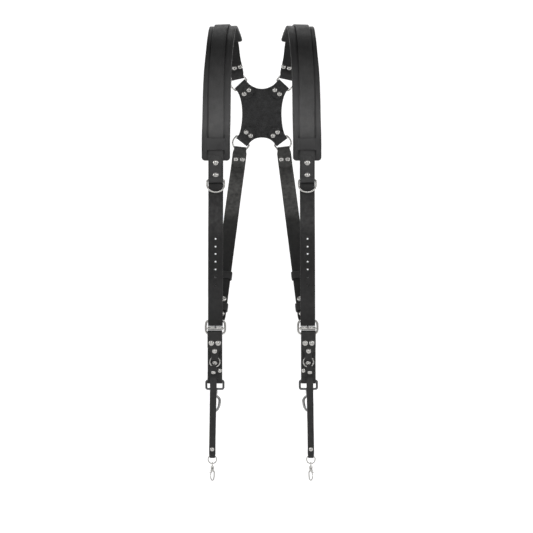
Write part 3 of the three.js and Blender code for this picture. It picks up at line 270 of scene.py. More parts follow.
def panel(outline, place, thick, edge=0.8, crease=2.3, dent=0.22, holes=(), grid=(1.2, 3.0), lift=None):
    """Leather cut to an outline (along, across), with holes (along, across, radius). Its edge is a
    quarter circle of radius edge on both sides, a crease runs inside it on the outer side, and place
    puts each point in space. lift gives an extra height of the outer side at (along, across)."""
    ring = spaced(np.asarray(outline, float), 1.3)
    area = ring[:, 0] @ np.roll(ring[:, 1], -1) - ring[:, 1] @ np.roll(ring[:, 0], -1)
    ring = ring if area > 0 else ring[::-1]
    half, m = thick / 2, len(ring)
    turn = np.linspace(0, math.pi / 2, 4)
    side = list(zip(edge * (1 - np.cos(turn)), half - edge + edge * np.sin(turn)))
    crest = [(crease - 0.5, half), (crease, half - dent), (crease + 0.5, half)]
    levels = [(d, -h) for d, h in side[::-1]] + side + crest
    rings = [np.c_[inset_ring(ring, d), np.full(m, h)] for d, h in levels]
    faces = quads(len(levels), m).tolist()
    count = 20
    turn = 2 * math.pi * np.arange(count) / count
    rims = []
    for s, t, r in holes:
        rims.append(sum(len(x) for x in rings))
        faces += (quads(4, count)[:, ::-1] + rims[-1]).tolist()
        for wide, h in ((r + 0.25, half), (r, half - 0.3), (r, 0.3 - half), (r + 0.25, -half)):
            rings.append(np.c_[s + wide * np.cos(turn), t + wide * np.sin(turn), np.full(count, h)])
    verts = np.concatenate(rings)
    for up, start, down in ((1, (len(levels) - 1) * m, 0), (-1, 0, 3 * count)):
        loop = verts[start : start + m, :2]
        low, high = loop.min(0), loop.max(0)
        steps = [np.arange(low[k] + grid[k] / 2, high[k], grid[k]) for k in (0, 1)]
        cells = np.stack(np.meshgrid(*steps, indexing="ij"), -1).reshape(-1, 2)
        cells = cells[inside(cells, inset_ring(loop, 0.5))]
        for s, t, r in holes:
            cells = cells[np.hypot(cells[:, 0] - s, cells[:, 1] - t) > r + 0.8]
        fixed = [np.arange(start, start + m)] + [rim + down + np.arange(count) for rim in rims]
        edges, base = [], 0
        for numbers in fixed:
            edges += [(base + i, base + (i + 1) % len(numbers)) for i in range(len(numbers))]
            base += len(numbers)
        fixed = np.concatenate(fixed)
        spots = [Vector(p) for p in np.vstack([verts[fixed, :2], cells])]
        spots, _, tris, origin, _, _ = geometry.delaunay_2d_cdt(spots, edges, [], 0, 1e-7, True)
        spots, tris = np.array([p[:] for p in spots]), np.array(tris)
        source = np.array([min(known, default=len(fixed)) for known in origin])
        fresh = source >= len(fixed)
        number = np.where(fresh, len(verts) + np.cumsum(fresh) - 1, fixed[source * ~fresh])
        verts = np.vstack([verts, np.c_[spots[fresh], np.full(fresh.sum(), up * half)]])
        middle = spots[tris].mean(1)
        good = inside(middle, loop)
        for s, t, r in holes:
            good &= np.hypot(middle[:, 0] - s, middle[:, 1] - t) > r + 0.2
        tris = tris[good]
        a, b = spots[tris[:, 1]] - spots[tris[:, 0]], spots[tris[:, 2]] - spots[tris[:, 0]]
        wrong = (a[:, 0] * b[:, 1] - a[:, 1] * b[:, 0] > 0) != (up > 0)
        tris = number[tris]
        tris[wrong] = tris[wrong, ::-1]
        faces += tris.tolist()
    h = verts[:, 2].copy()
    if lift is not None:
        h += lift(verts[:, 0], verts[:, 1]) * (h > 0)
    points = place(verts[:, 0], verts[:, 1], h)
    return points, facing(points, faces)


def fold(origin, along, face, radius, drop, close, lap, rest):
    """A strap's middle line round a bar: half a circle below it, then the flap closing on the main
    part with an S, 3e^2 - 2e^3, up to lap above the bar. Rows of (point, across)."""
    across = np.cross(along, face)
    rows = []
    for k in range(25):
        turn = math.pi * (k / 24 - 0.5)
        rows.append((-drop - radius * math.cos(turn), radius * math.sin(turn)))
    rows.append((0.0, radius))
    for k in range(1, 13):
        e = k / 12
        rows.append((e * close, radius + (rest - radius) * (3 * e * e - 2 * e**3)))
    rows.append((lap, rest))
    return [(origin + along * u + face * h, across) for u, h in rows]


UP, DOWN, FRONT, BACK = vec(0, 0, 1), vec(0, 0, -1), vec(0, -1, 0), vec(0, 1, 0)
ACROSS = vec(1, 0, 0)
LEATHER, WIRE, GAP = 3.0, 1.6, 0.3
RING_FOLD = WIRE + GAP + LEATHER / 2  # radius of the leather's middle round a ring's wire
FLAP = LEATHER + GAP - RING_FOLD  # from the wire's middle to that of the flap, pressed down


def strap_outline(long, width, head=0.0, tail=0.0):
    """Outline of a strap: width(s) wide at each s along, with half-elliptic ends head and tail
    deep."""
    s = np.linspace(0, long, int(long + 0.5) + 1)
    turn = np.linspace(0, math.pi, 19)[1:-1]
    half = width(s) / 2
    rows = [np.c_[s, half]]
    if tail:
        rows.append(np.c_[long + tail * np.sin(turn), half[-1] * np.cos(turn)])
    rows.append(np.c_[s, -half][::-1])
    if head:
        rows.append(np.c_[-head * np.sin(turn), -half[0] * np.cos(turn)])
    return np.concatenate(rows)


def bezier(p0, p1, p2, p3, n=18):
    """Cubic curve from p0 to p3, without its last point."""
    t = (np.arange(n) / n)[:, None]
    return list((1 - t) ** 3 * p0 + 3 * (1 - t) ** 2 * t * p1 + 3 * (1 - t) * t**2 * p2 + t**3 * p3)


ARM_WIDTH, PLATE_Y = 25.4, 105
# The bar of each arm's ring on the left, and the ways out along the arm and across it.
ARMS = {
    "upper": (vec(38.658, 101.6, -90.384), vec(0.682, 0, 0.731), vec(0.731, 0, -0.682)),
    "lower": (vec(35.217, 101.6, -192.913), vec(0.609, 0, -0.793), vec(0.793, 0, 0.609)),
}


def yoke_plate():
    """The plate: two waists, a hollow top and bottom edge, and four arm roots, joined by cubic curves
    that leave each arm straight."""
    flat = lambda p: vec(p[0], p[2])
    tips = {}
    for key, (bar, out, side) in ARMS.items():
        root, half = bar - out * 2, side * ARM_WIDTH / 2
        tips[key] = flat(root + half), flat(root - half), -flat(out) * 5
    (uo, ui, ud), (lo, li, ld) = tips["upper"], tips["lower"]
    waist, top, low = vec(36.9, -141.8), vec(0, -96.1), vec(0, -187.5)
    half = bezier(top, top + [15, 0], ui + ud, ui)
    half += [ui + (uo - ui) * k / 8 for k in range(8)]
    half += bezier(uo, uo + ud, waist + [0, 22], waist)
    half += bezier(waist, waist - [0, 22], lo + ld, lo)
    half += [lo + (li - lo) * k / 8 for k in range(8)]
    half += bezier(li, li + ld, low + [15, 0], low)
    half.append(low)
    other = [p * [-1, 1] for p in half[-2:0:-1]]
    return half + other


plate = lambda s, t, h: np.stack([s, PLATE_Y - h, t], 1)
parts = [panel(yoke_plate(), plate, LEATHER, crease=2.6, grid=(3.0, 3.0))]
for bar, out, side in ARMS.values():
    for hand in (1, -1):
        turn = vec(hand, 1, 1)
        rows = fold(bar * turn, -out * turn, FRONT, RING_FOLD, 0, 12, 19, FLAP)
        root = [(bar * turn - out * turn * u - FRONT * RING_FOLD, rows[0][1]) for u in (11, 8, 4)]
        arm = Course(root + rows)
        wide = lambda s: ARM_WIDTH - 7 * np.clip((6 - s) / 6, 0, 1)
        parts.append(panel(strap_outline(arm.long, wide, tail=9), arm.at, 2.9, crease=2.0))
put_in("yoke_leather", *joined(parts), YOKE_LEATHER, "leather", node="yoke", hands=(None,))

# Yoke rings: D-rings bent from round steel wire and nickel-plated. Their straight bar lies in an
# arm's fold, and a strap is folded round their bow.


def metal(name, colour, rough):
    """Plated metal: roughness around rough, varied by slow noise, with a faint unevenness."""
    m = bpy.data.materials.new(name)
    m.use_nodes = True
    nt = m.node_tree
    b = nt.nodes["Principled BSDF"]
    b.inputs["Base Color"].default_value = (*colour, 1)
    b.inputs["Metallic"].default_value = 1
    where = nt.nodes.new("ShaderNodeTexCoord").outputs["Object"]
    n = nt.nodes.new("ShaderNodeTexNoise")
    n.inputs["Scale"].default_value = 260
    nt.links.new(where, n.inputs["Vector"])
    r = nt.nodes.new("ShaderNodeMapRange")
    r.inputs["To Min"].default_value = rough * 0.7
    r.inputs["To Max"].default_value = rough * 1.4
    nt.links.new(n.outputs["Fac"], r.inputs["Value"])
    nt.links.new(r.outputs["Result"], b.inputs["Roughness"])
    bump = nt.nodes.new("ShaderNodeBump")
    bump.inputs["Strength"].default_value = 0.08
    bump.inputs["Distance"].default_value = 0.0003
    nt.links.new(n.outputs["Fac"], bump.inputs["Height"])
    nt.links.new(bump.outputs["Normal"], b.inputs["Normal"])
    return m


NICKEL = metal("nickel", (0.6, 0.59, 0.57), 0.22)
SNAP_METAL = metal("snap_metal", (0.17, 0.17, 0.175), 0.22)
HOOK_METAL = metal("hook_metal", (0.4, 0.4, 0.4), 0.26)


def tube(points, radius, closed=False, sides=20, flat=1.0):
    """Round wire: a circle carried along points, its radius given once or for each point; flat scales
    its height across the plane it bends in. Open ends are domed."""
    p = np.asarray(points, float)
    r = np.broadcast_to(np.asarray(radius, float), (len(p),)).copy()
    if not closed:
        a, b = unit(p[0] - p[1]), unit(p[-1] - p[-2])
        dome = [(0.5, 0.87), (0.85, 0.53), (0.98, 0.2)]
        head = [(p[0] + a * r[0] * u, r[0] * w) for u, w in dome][::-1]
        tail = [(p[-1] + b * r[-1] * u, r[-1] * w) for u, w in dome]
        p = np.array([h[0] for h in head] + list(p) + [t[0] for t in tail])
        r = np.array([h[1] for h in head] + list(r) + [t[1] for t in tail])
    n = len(p)
    t = np.roll(p, -1, 0) - np.roll(p, 1, 0) if closed else np.gradient(p, axis=0)
    t /= np.linalg.norm(t, axis=1)[:, None]
    u = np.zeros_like(p)
    seed = np.cross(t[0], vec(0.3, 1, 0.2)) if abs(t[0][1]) < 0.9 else np.cross(t[0], vec(1, 0, 0))
    u[0] = unit(seed)
    for i in range(1, n):
        u[i] = unit(u[i - 1] - t[i] * np.dot(u[i - 1], t[i]))
    w = np.cross(t, u)
    ang = 2 * np.pi * np.arange(sides) / sides
    ring = u[:, None] * np.cos(ang)[None, :, None] + w[:, None] * np.sin(ang)[None, :, None]
    ring[..., 1] *= flat
    v = (p[:, None] + ring * r[:, None, None]).reshape(-1, 3)
    f = quads(n, sides, shut_rows=closed).tolist()
    if not closed:
        f += [list(range(sides))[::-1], list(range((n - 1) * sides, n * sides))]
    return v, facing(v, f)


def d_ring(bar, across, out):
    """A D: straight bar, bends of 2.2 mm, and a bow that is half an ellipse, 12 mm deep."""
    small, large = np.linspace(0, math.pi / 2, 7), np.linspace(0, math.pi, 49)
    bend = np.c_[12.9 + 2.2 * np.sin(small), 2.2 - 2.2 * np.cos(small)]
    bow = np.c_[15.1 * np.cos(large), 9 + 12 * np.sin(large)]
    d, o = np.vstack([bend, bow, bend[::-1] * [-1, 1]]).T
    return bar + np.outer(d, across) + np.outer(o, out)


for key, (bar, out, side) in ARMS.items():
    loop = spaced(d_ring(bar, side, out), 1.5)
    put_in(f"d_ring_{key}", *tube(loop, WIRE, closed=True), NICKEL, "nickel", node=f"yoke_ring_{key}")

# Rivets: domed nickel caps with a small dimple, pressed on a shank through the leather of every
# fold. The pairs on the yoke's arms come first.


def turned_body(origin, axis, profile, sides=36, slot=0.0):
    """A body turned about an axis: (radius, height) pairs carried round it in even turns. slot cuts a
    groove that deep and 1.5 mm wide across its top."""
    axis = unit(axis)
    u = unit(np.cross(axis, vec(0.9, 0.1, 0.42)))
    w = np.cross(axis, u)
    r, h = np.array(profile, float).T
    a = 2 * np.pi * np.arange(sides) / sides
    x, y = np.outer(r, np.cos(a)), np.outer(r, np.sin(a))
    cut = slot * np.clip(1 - (np.abs(y) / 0.75) ** 6, 0, 1) * (h > h.max() - 1.2)[:, None]
    v = origin + x[..., None] * u + y[..., None] * w + (h[:, None] - cut)[..., None] * axis
    v = np.vstack([v.reshape(-1, 3), origin + axis * h[0], origin + axis * (h[-1] - slot)])
    k = np.arange(sides)
    m, last = np.roll(k, -1), (len(r) - 1) * sides
    first_end = np.c_[k * 0 + len(v) - 2, m, k]
    last_end = np.c_[k * 0 + len(v) - 1, last + k, last + m]
    f = quads(len(r), sides).tolist() + first_end.tolist() + last_end.tolist()
    return v, facing(v, f)


def cap(radius, height, back=2.0, dimple=0.35):
    """Profile of a rivet: a shank, a rounded rim, a quarter-sine dome and a dimple."""
    rows = [(radius * 0.5, -back), (radius * 0.96, -0.05), (radius, 0.25)]
    for e in np.arange(1, 9) / 8:
        rows.append((radius * (1 - 0.68 * e), 0.25 + (height - 0.25) * math.sin(e * math.pi / 2)))
    foot = height - dimple
    return rows + [(radius * 0.26, foot + 0.6 * dimple), (radius * 0.16, foot), (0.05, foot)]


def rivet(name, origin, axis, radius=4.6, height=1.9):
    """A rivet's cap with its rim on the leather at origin."""
    put_in(name, *turned_body(origin, axis, cap(radius, height)), NICKEL, "nickel")


ARM_FACE_Y = 100.15
for i, (x, z) in enumerate([(24.3, -98.6), (33.1, -105.9), (29.4, -177.7), (20.9, -184.1)]):
    rivet(f"yoke_rivet_{i}", vec(x, ARM_FACE_Y, z), FRONT)

# Pad: a long panel of smooth leather that lies over the shoulder, with painted shade at the crest
# and a painted highlight lower in front. Near each end a strip of it is slit free on both sides and
# bulges, and the shoulder strap passes under that bridge.

# Height in metres, and the share of the colour kept there: painted shade towards the crest at 0 and a painted
# highlight near -0.18.
PAD_PAINTED_LIGHT = [
    (-0.25, 0.5),
    (-0.21, 0.6),
    (-0.18, 1.0),
    (-0.15, 0.85),
    (-0.12, 0.6),
    (-0.08, 0.4),
    (-0.04, 0.12),
    (0.0, 0.05),
]
PAD_LEATHER = leather(
    "pad_leather", (0.088, 0.087, 0.088), 0.42, 900, 0.3, 60, 0.1, painted_light=PAD_PAINTED_LIGHT, gloss=0.25
)
# The pad's middle line from back to front: x, y and z as shares of its reach that way, the turn of
# its across direction in degrees, and how far the strap lies beside the line, in strap widths.
PAD_REACH = (80, 94.5, 243.5)
PAD_ROWS = [
    (0.75, 0.656, -0.053, 8, -0.12),
    (0.813, 0.296, -0.004, 10, 0),
    (0.869, -0.085, 0.0103, 12, 0.07),
    (0.906, -0.402, -0.074, 16, 0.06),
    (0.94, -0.656, -0.205, 18, 0.02),
    (0.969, -0.815, -0.349, 14, 0),
    (0.9825, -0.915, -0.513, 9, 0),
    (0.99, -0.968, -0.698, 5, -0.02),
    (1, -0.995, -0.842, 2, -0.02),
    (1, -1, -1, 0, 0),
]


def spline(points, extra, per=24):
    """Centripetal Catmull-Rom curve through points; extra columns go evenly from row to row."""
    p = np.asarray(points, float)
    e = np.asarray(extra, float)
    p = np.vstack([2 * p[0] - p[1], p, 2 * p[-1] - p[-2]])
    out, cols = [], []
    for i in range(1, len(p) - 2):
        k = [0.0]
        for j in range(3):
            k.append(k[-1] + max(np.linalg.norm(p[i + j] - p[i + j - 1]), 1e-4) ** 0.5)
        for q in range(per + (i == len(p) - 3)):
            t = k[1] + (k[2] - k[1]) * q / per
            lerp = lambda a, b, ta, tb: a * (tb - t) / (tb - ta) + b * (t - ta) / (tb - ta)
            a1, a2, a3 = (lerp(p[i - 1 + j], p[i + j], k[j], k[j + 1]) for j in range(3))
            b1, b2 = lerp(a1, a2, k[0], k[2]), lerp(a2, a3, k[1], k[3])
            out.append(lerp(b1, b2, k[1], k[2]))
            cols.append(e[i - 1] + (e[min(i, len(e) - 1)] - e[i - 1]) * q / per)
    return np.array(out), np.array(cols)


rows = np.array(PAD_ROWS)
yaw, beside = np.radians(rows[:, 3]), rows[:, 4] * ARM_WIDTH
line, cols = spline(rows[:, :3] * PAD_REACH, np.c_[np.cos(yaw), np.sin(yaw), 0 * yaw, beside])
PAD = Course([(p, c[:3]) for p, c in zip(line, cols)], smooth=1)
pad_s = np.r_[0, np.cumsum(np.linalg.norm(np.diff(line, axis=0), axis=1))]
strap_shift = lambda s: np.interp(s, pad_s, cols[:, 3])
BRIDGES = [18.0, PAD.long - 39.0]
BRIDGE_LONG, SLIT, PAD_THICK, PAD_HALF = 21.0, 16.6, 4.8, 25


def rounded(half, low, high, bend):
    """A rectangle from -half to half and from low to high, its corners quarter circles."""
    turn = np.linspace(0, math.pi / 2, 9)
    corners = []
    for q, (sx, level) in enumerate(((1, high - bend), (-1, high - bend), (-1, low + bend), (1, low + bend))):
        a = turn + q * math.pi / 2
        corners.append(np.c_[sx * (half - bend) + bend * np.cos(a), level + bend * np.sin(a)])
    return np.concatenate(corners)


def swell(t):
    """Rise of the pad's skin over the strap: 5.9 mm up to 11.5 mm from the strap's middle, then an S
    down to nothing 10 mm further out."""
    e = np.clip((np.abs(t) - 11.5) / 10, 0, 1)
    return 5.9 * (1 - e * e * (3 - 2 * e))


def pad_lift(s, t):
    """The skin beside each bridge rises with it and settles 9 mm before and after it. Elsewhere a
    groove 2.2 mm deep runs beside the strap's outer edge."""
    t = t - strap_shift(s)
    out = 0 * s
    for start in BRIDGES:
        near = np.clip(np.minimum(s - start + 9, start + 30 - s) / 9, 0, 1)
        beside = np.clip((np.abs(t) - 13.6) / 3, 0, 1)
        out = np.maximum(out, near**2 * (3 - 2 * near) * swell(t) * beside)
    groove = np.clip(1 - np.abs(t - 14.9) / 1.6, 0, 1)
    ends = np.clip((np.minimum(s, PAD.long - s) - 42) / 6, 0, 1)
    return out - 2.2 * groove * ends


shape = rounded(PAD.long / 2, -PAD_HALF, PAD_HALF, 6) + [PAD.long / 2, 0]
parts = [panel(shape, PAD.at, PAD_THICK, edge=1.6, crease=3.2, dent=0.4, grid=(3.0, 1.1), lift=pad_lift)]


def bridge(start):
    """A strip of the skin between two cross cuts, 2.3 mm thick, standing over the strap by swell and
    half a sine wave of 0.35 mm. Past the ends of the cuts it dips under the pad's skin."""
    s = np.r_[0.0, 0.25, 0.8, np.linspace(2.2, 18.8, 14), 20.2, 20.75, BRIDGE_LONG]
    t = np.linspace(-SLIT - 2, SLIT + 2, 61)
    dip = 0.5 * np.clip((np.abs(t) - SLIT + 0.3) / 1.6, 0, 1)
    soft = 0.7 * (1 - np.clip(np.minimum(s, BRIDGE_LONG - s), 0, 0.8) / 0.8) ** 2
    rise = PAD_THICK / 2 + swell(t) - dip + 0.35 * np.sin(np.pi * s / BRIDGE_LONG)[:, None]
    along, across = np.meshgrid(start + s, t, indexing="ij")
    across = (across + strap_shift(along)).ravel()
    layers = rise - soft[:, None], rise - 2.3 + 0.4 * soft[:, None]
    v = np.concatenate([PAD.at(along.ravel(), across, h.ravel()) for h in layers])
    number = np.arange(rise.size).reshape(rise.shape)
    rim = np.r_[number[0, :-1], number[:-1, -1], number[-1, :0:-1], number[:0:-1, 0]]
    after = np.roll(rim, -1)
    skin = quads(*rise.shape, shut_cols=False)
    walls = np.stack([rim, rim + rise.size, after + rise.size, after], 1)
    return v, facing(v, np.vstack([skin, skin[:, ::-1] + rise.size, walls]).tolist())


parts += [bridge(start) for start in BRIDGES]
put_in("pad_panel", *joined(parts), PAD_LEATHER, "leather", node="pad")

# Shoulder strap: smooth leather, folded round the upper yoke ring's bow and riveted. It climbs
# over the shoulder, runs along the pad under both bridges and ends in a tongue round the front
# ring.

# Where the strap's fold hangs on the ring's bow, and the way that it pulls.
HOOK_UP, PULL_UP = vec(46.362, 101.6, -71.052), unit(vec(0.22, 0, 0.975))
WIDE, NECK = 26.2, 23.0


def narrow(s, middle):
    """The strap's width: drawn in to NECK at the fold whose middle lies at middle along it, and WIDE
    from 14 mm away, joined by 3e^2 - 2e^3."""
    e = np.clip((np.abs(s - middle) - 5) / 9, 0, 1)
    return NECK + (WIDE - NECK) * (3 * e * e - 2 * e**3)


# How far the fold's middle lies below the bow's, and the length of the flap above it.
BOW_DROP, REAR_LAP = 3.6, 24
rear = fold(HOOK_UP, PULL_UP, FRONT, RING_FOLD, BOW_DROP, 15, REAR_LAP, FLAP)[::-1]
foot = HOOK_UP - FRONT * RING_FOLD
LIFT = 4.1  # from the pad's middle to the strap's
over = []
for s in np.r_[2.0, np.arange(10, PAD.long - 16.5, 3)]:
    near = int(round(s / PAD.long * (len(PAD.s) - 1)))
    over.append((PAD.at(s, strap_shift(s), LIFT)[0], PAD.a[near]))
first = over[0][0]
rise = first[2] - foot[2]
lean = lambda e: foot[0] + (first[0] - foot[0]) * e
climb, turns = spline(
    [
        foot + PULL_UP * 3,
        foot + PULL_UP * 16,
        vec(lean(0.62), 99, foot[2] + 0.5 * rise),
        vec(lean(0.82), 85, foot[2] + 0.8 * rise),
        first,
    ],
    [rear[0][1], rear[0][1], ACROSS, ACROSS, over[0][1]],
)
TONGUE_BAR, TONGUE_LAP = vec(80, -105.95, -277.9), 33
tongue_y = TONGUE_BAR[1] + RING_FOLD
down = [(vec(TONGUE_BAR[0], tongue_y, z), ACROSS) for z in (-236.5, -245.5, -263.9, -271.9)]
tongue = fold(TONGUE_BAR, UP, FRONT, RING_FOLD, 0, 9, TONGUE_LAP, FLAP)
rows = rear + list(zip(climb[:-1], turns[:-1])) + over + down + tongue
SHOULDER = Course(rows)
FOLD_MIDDLE = REAR_LAP + BOW_DROP + math.pi * RING_FOLD / 2
tongue_start = SHOULDER.long - TONGUE_LAP - math.pi * RING_FOLD


def shoulder_width(s):
    """Narrow in the ring's bow, a tongue of 20 mm in front, full width between."""
    bow = narrow(s, FOLD_MIDDLE)
    past = np.clip((s - tongue_start - 12) / 7, 0, 1)
    return bow - 6.2 * past * past * (3 - 2 * past)


shape = strap_outline(SHOULDER.long, shoulder_width, head=7, tail=10)
strap = panel(shape, SHOULDER.at, LEATHER, crease=1.9, dent=0.16)
# The shoulder strap's colour is scaled by height like the pad's: painted shade at the crest and a painted
# highlight lower in front.
SHOULDER_LEATHER = leather(
    "shoulder_strap_leather", (0.1, 0.099, 0.099), 0.4, 900, 0.35, 70, 0.12, 0.0005, PAD_PAINTED_LIGHT, 0.25
)
put_in("shoulder_strap_leather", *strap, SHOULDER_LEATHER, "leather", node="shoulder_strap")


def on_face(course, x, z, low, high, thick=LEATHER):
    """Point on a strap's outer side next to x and z, and the way that side faces there."""
    s = course.nearest(x, z, low, high)
    p = course.at(s, 0, 0)[0]
    a, n = unit(course.at(s, 1, 0)[0] - p), unit(course.at(s, 0, 1)[0] - p)
    shift = (x - p[0]) / a[0]
    return p + a * shift + n * thick / 2, n


for i, (x, z) in enumerate([(51.2, -57.7), (40.5, -55.3)]):
    rivet(f"strap_rivet_{i}", *on_face(SHOULDER, x, z, 0, 0.04))

# Front ring: a D-ring of the same nickel-plated wire. Its bar lies in the tongue's fold, and it
# hangs flat from there and swings forward.
ring = tube(spaced(d_ring(TONGUE_BAR, ACROSS, DOWN), 1.5), WIRE, closed=True)
put_in("front_d_ring", *ring, NICKEL, "nickel", node="front_ring", body="front_ring")

# Front strap: smooth leather, held behind the shoulder strap by the tongue's two screws. It goes
# down to the buckle, round its top bar and back up behind. Holes are punched along its middle.

BUCKLE = vec(82.3, -46, -525.3)
BACK_START, BACK_LINE = vec(41.033, 105, -212.894), unit(vec(0.108, -0.428, -0.898))
BACK_ACROSS, BACK_FACE = unit(vec(0.994, 0.046, 0.098)), unit(vec(0, -0.903, 0.43))


def back_at(z, out=0.0):
    """Point of the back strap's straight line at height z, moved out by out."""
    return BACK_START + BACK_LINE * (z - BACK_START[2]) / BACK_LINE[2] + BACK_FACE * out


BAR_FOLD = 3.6  # radius of the leather's middle round a buckle's bar
BELLY = 5  # how far the strap bows forward between its straight top and the buckle
STRAP_X, STRAP_Y = TONGUE_BAR[0], tongue_y + LEATHER + GAP
top, end = vec(STRAP_X, STRAP_Y, -289.9), BUCKLE + FRONT * BAR_FOLD
rows = [(vec(STRAP_X, STRAP_Y, -247.5), ACROSS)]
for e in np.linspace(0, 1, 61):
    rows.append((top + (end - top) * e + FRONT * BELLY * math.sin(math.pi * e), ACROSS))
for turn in np.linspace(-0.5, 0.5, 25) * math.pi:
    round_bar = vec(0, BAR_FOLD * math.sin(turn), -4.9 - BAR_FOLD * math.cos(turn))
    rows.append((BUCKLE + round_bar, ACROSS))
UNDER_BACK = -LEATHER - GAP
behind, turns = spline(
    [BUCKLE + BACK * BAR_FOLD] + [back_at(z, UNDER_BACK) for z in (-517.3, -514.7, -487.2, -460, -443)],
    [ACROSS] + [BACK_ACROSS] * 5,
)
rows += list(zip(behind, turns))
FRONT_COURSE = Course(rows)
HOLES, HOLE_PITCH, HOLE_RADIUS, FIRST_HOLE_Z = 12, 13.6, 1.5, -380
holes = []
for i in range(HOLES):
    x = STRAP_X + 2.2 * i / (HOLES - 1)
    holes.append((FRONT_COURSE.nearest(x, FIRST_HOLE_Z - HOLE_PITCH * i, 0, 0.55), 0.0, HOLE_RADIUS))
shape = strap_outline(FRONT_COURSE.long, lambda s: WIDE + 0 * s, head=7, tail=7)
strap = panel(shape, FRONT_COURSE.at, LEATHER, crease=1.9, dent=0.14, holes=holes)
# Painted light and shade on the front strap: its colour is scaled by height, brightest near -0.35 m and
# darker above and below.
FRONT_PAINTED_LIGHT = [
    (-0.53, 0.2),
    (-0.49, 0.5),
    (-0.43, 0.2),
    (-0.38, 0.35),
    (-0.35, 1.0),
    (-0.33, 0.9),
    (-0.3, 0.45),
]
FRONT_LEATHER = leather(
    "front_strap_leather", (0.034, 0.033, 0.033), 0.4, 800, 0.6, 160, 0.35, 0.0005, FRONT_PAINTED_LIGHT, 0.4
)
put_in("front_strap_leather", *strap, FRONT_LEATHER, "leather", node="front_strap")

# Tongue screws: two-part nickel-plated screws with domed, dimpled heads. They hold tongue,
# shoulder strap and front strap together.


def head(radius=4.8, height=2.0, reach=11.0):
    """Profile of a two-part screw: a flat back, a shank, a quarter-sine dome and a dimple."""
    back, shank = 3.9, 2.1
    rows = [(back, -reach - 1.2), (back, -reach), (shank, -reach), (shank, 0.2)]
    rows += [(radius * 0.97, 0.2), (radius, 0.55)]
    for e in np.arange(1, 10) / 9:
        rows.append((radius * (1 - 0.7 * e), 0.55 + (height - 0.55) * math.sin(e * math.pi / 2)))
    return rows + [(radius * 0.22, height - 0.2), (radius * 0.12, height - 0.45), (0.05, height - 0.45)]


TONGUE_FACE_Y = TONGUE_BAR[1] - FLAP - LEATHER / 2
for key, z in (("lower", -269.5), ("upper", -247.8)):
    screw = turned_body(vec(STRAP_X, TONGUE_FACE_Y, z), FRONT, head(reach=9.9))
    put_in(f"tongue_cap_{key}", *screw, NICKEL, "nickel", node=f"tongue_screw_{key}")

# Back strap: leather with a painted highlight on its upper half, folded round the lower yoke ring's bow and
# riveted.
# It runs down and forward to the front strap's returned end, and four slotted screws hold both.

HOOK_LOW, PULL_LOW = vec(41.033, 101.6, -212.894), unit(vec(0.12, 0, -0.99))
LOW_DROP = 3.64
rear = fold(HOOK_LOW, PULL_LOW, FRONT, RING_FOLD, LOW_DROP, 15, REAR_LAP, FLAP)[::-1]
foot = HOOK_LOW - FRONT * RING_FOLD
run, turns = spline(
    [foot + PULL_LOW * 3, foot + PULL_LOW * 26]
    + [back_at(z) for z in (-285.5, -373.6, -433.0, -510.3)],
    [rear[0][1]] * 2 + [-BACK_ACROSS] * 4,
)
BACK_COURSE = Course(rear + list(zip(run, turns)))
shape = strap_outline(BACK_COURSE.long, lambda s: narrow(s, FOLD_MIDDLE), head=7, tail=6)
strap = panel(shape, BACK_COURSE.at, LEATHER, crease=1.9, dent=0.14)
# Painted light and shade on the back strap: a painted highlight near -0.29 m and painted shade towards its
# lower end.
BACK_PAINTED_LIGHT = [
    (-0.42, 0.06),
    (-0.37, 0.14),
    (-0.345, 0.22),
    (-0.325, 0.75),
    (-0.285, 1.0),
    (-0.25, 0.65),
    (-0.21, 0.5),
]
BACK_LEATHER = leather(
    "back_strap_leather", (0.085, 0.084, 0.08), 0.4, 800, 0.6, 160, 0.35, 0.0005, BACK_PAINTED_LIGHT, 0.4
)
put_in("back_strap_leather", *strap, BACK_LEATHER, "leather", node="back_strap")
for i, (x, z) in enumerate([(48.4, -227.8), (36.3, -228.6)]):
    rivet(f"back_rivet_{i}", *on_face(BACK_COURSE, x, z, 0, 0.07))
SEAT = 1.43  # from the strap's middle to the screws' seat
flat_top = head(reach=6.6)[:-3] + [(4.8 * e, 2.0) for e in (0.24, 0.16, 0.08, 0.02)]
for row, z in (("upper", -487.175), ("lower", -512.673)):
    for place, beside in (("in", -5.945), ("out", 6.055)):
        key = f"{row}_{place}"
        screw = turned_body(back_at(z, SEAT) + BACK_ACROSS * beside, BACK_FACE, flat_top, sides=72, slot=0.7)
        put_in(f"adjusting_cap_{key}", *screw, NICKEL, "nickel", node=f"adjusting_screw_{key}")

# Keepers: two narrow bands of the straps' leather, each closed to a loop round the back strap and
# the returned end of the front strap. They slide on them and hold them together.


def keeper_loop(z):
    """A section 14 mm wide and 2 mm thick, with soft edges, carried round a rounded rectangle."""
    middle = back_at(z, UNDER_BACK / 2)
    loop = spaced(rounded(14.4, -4.45, 4.45, 2.2), 1.6)
    t = np.roll(loop, -1, 0) - np.roll(loop, 1, 0)
    t /= np.linalg.norm(t, axis=1)[:, None]
    out = np.c_[t[:, 1], -t[:, 0]]
    edge = [(-7, -0.5), (-6.7, -0.9), (-6, -1), (0, -1), (6, -1), (6.7, -0.9), (7, -0.5)]
    section = edge + [(7, 0.5), (6.7, 0.9), (6, 1), (0, 1.15), (-6, 1), (-6.7, 0.9), (-7, 0.5)]
    w, h = np.array(section).T
    q = loop[:, None] + out[:, None] * h[:, None]
    v = middle + q[..., :1] * BACK_ACROSS + q[..., 1:] * BACK_FACE + w[:, None] * BACK_LINE
    v = v.reshape(-1, 3)
    return v, facing(v, quads(len(loop), len(w), shut_rows=True).tolist())


for key, z in (("upper", -444.5), ("lower", -501)):
    put_in(f"keeper_band_{key}", *keeper_loop(z), STRAP_LEATHER, "leather", node=f"keeper_{key}")

# Buckle: an oval frame of nickel-plated wire with a thin cross pin. The roller turns on the pin,
# and a darker prong, hooked on the top bar, lies on the roller.


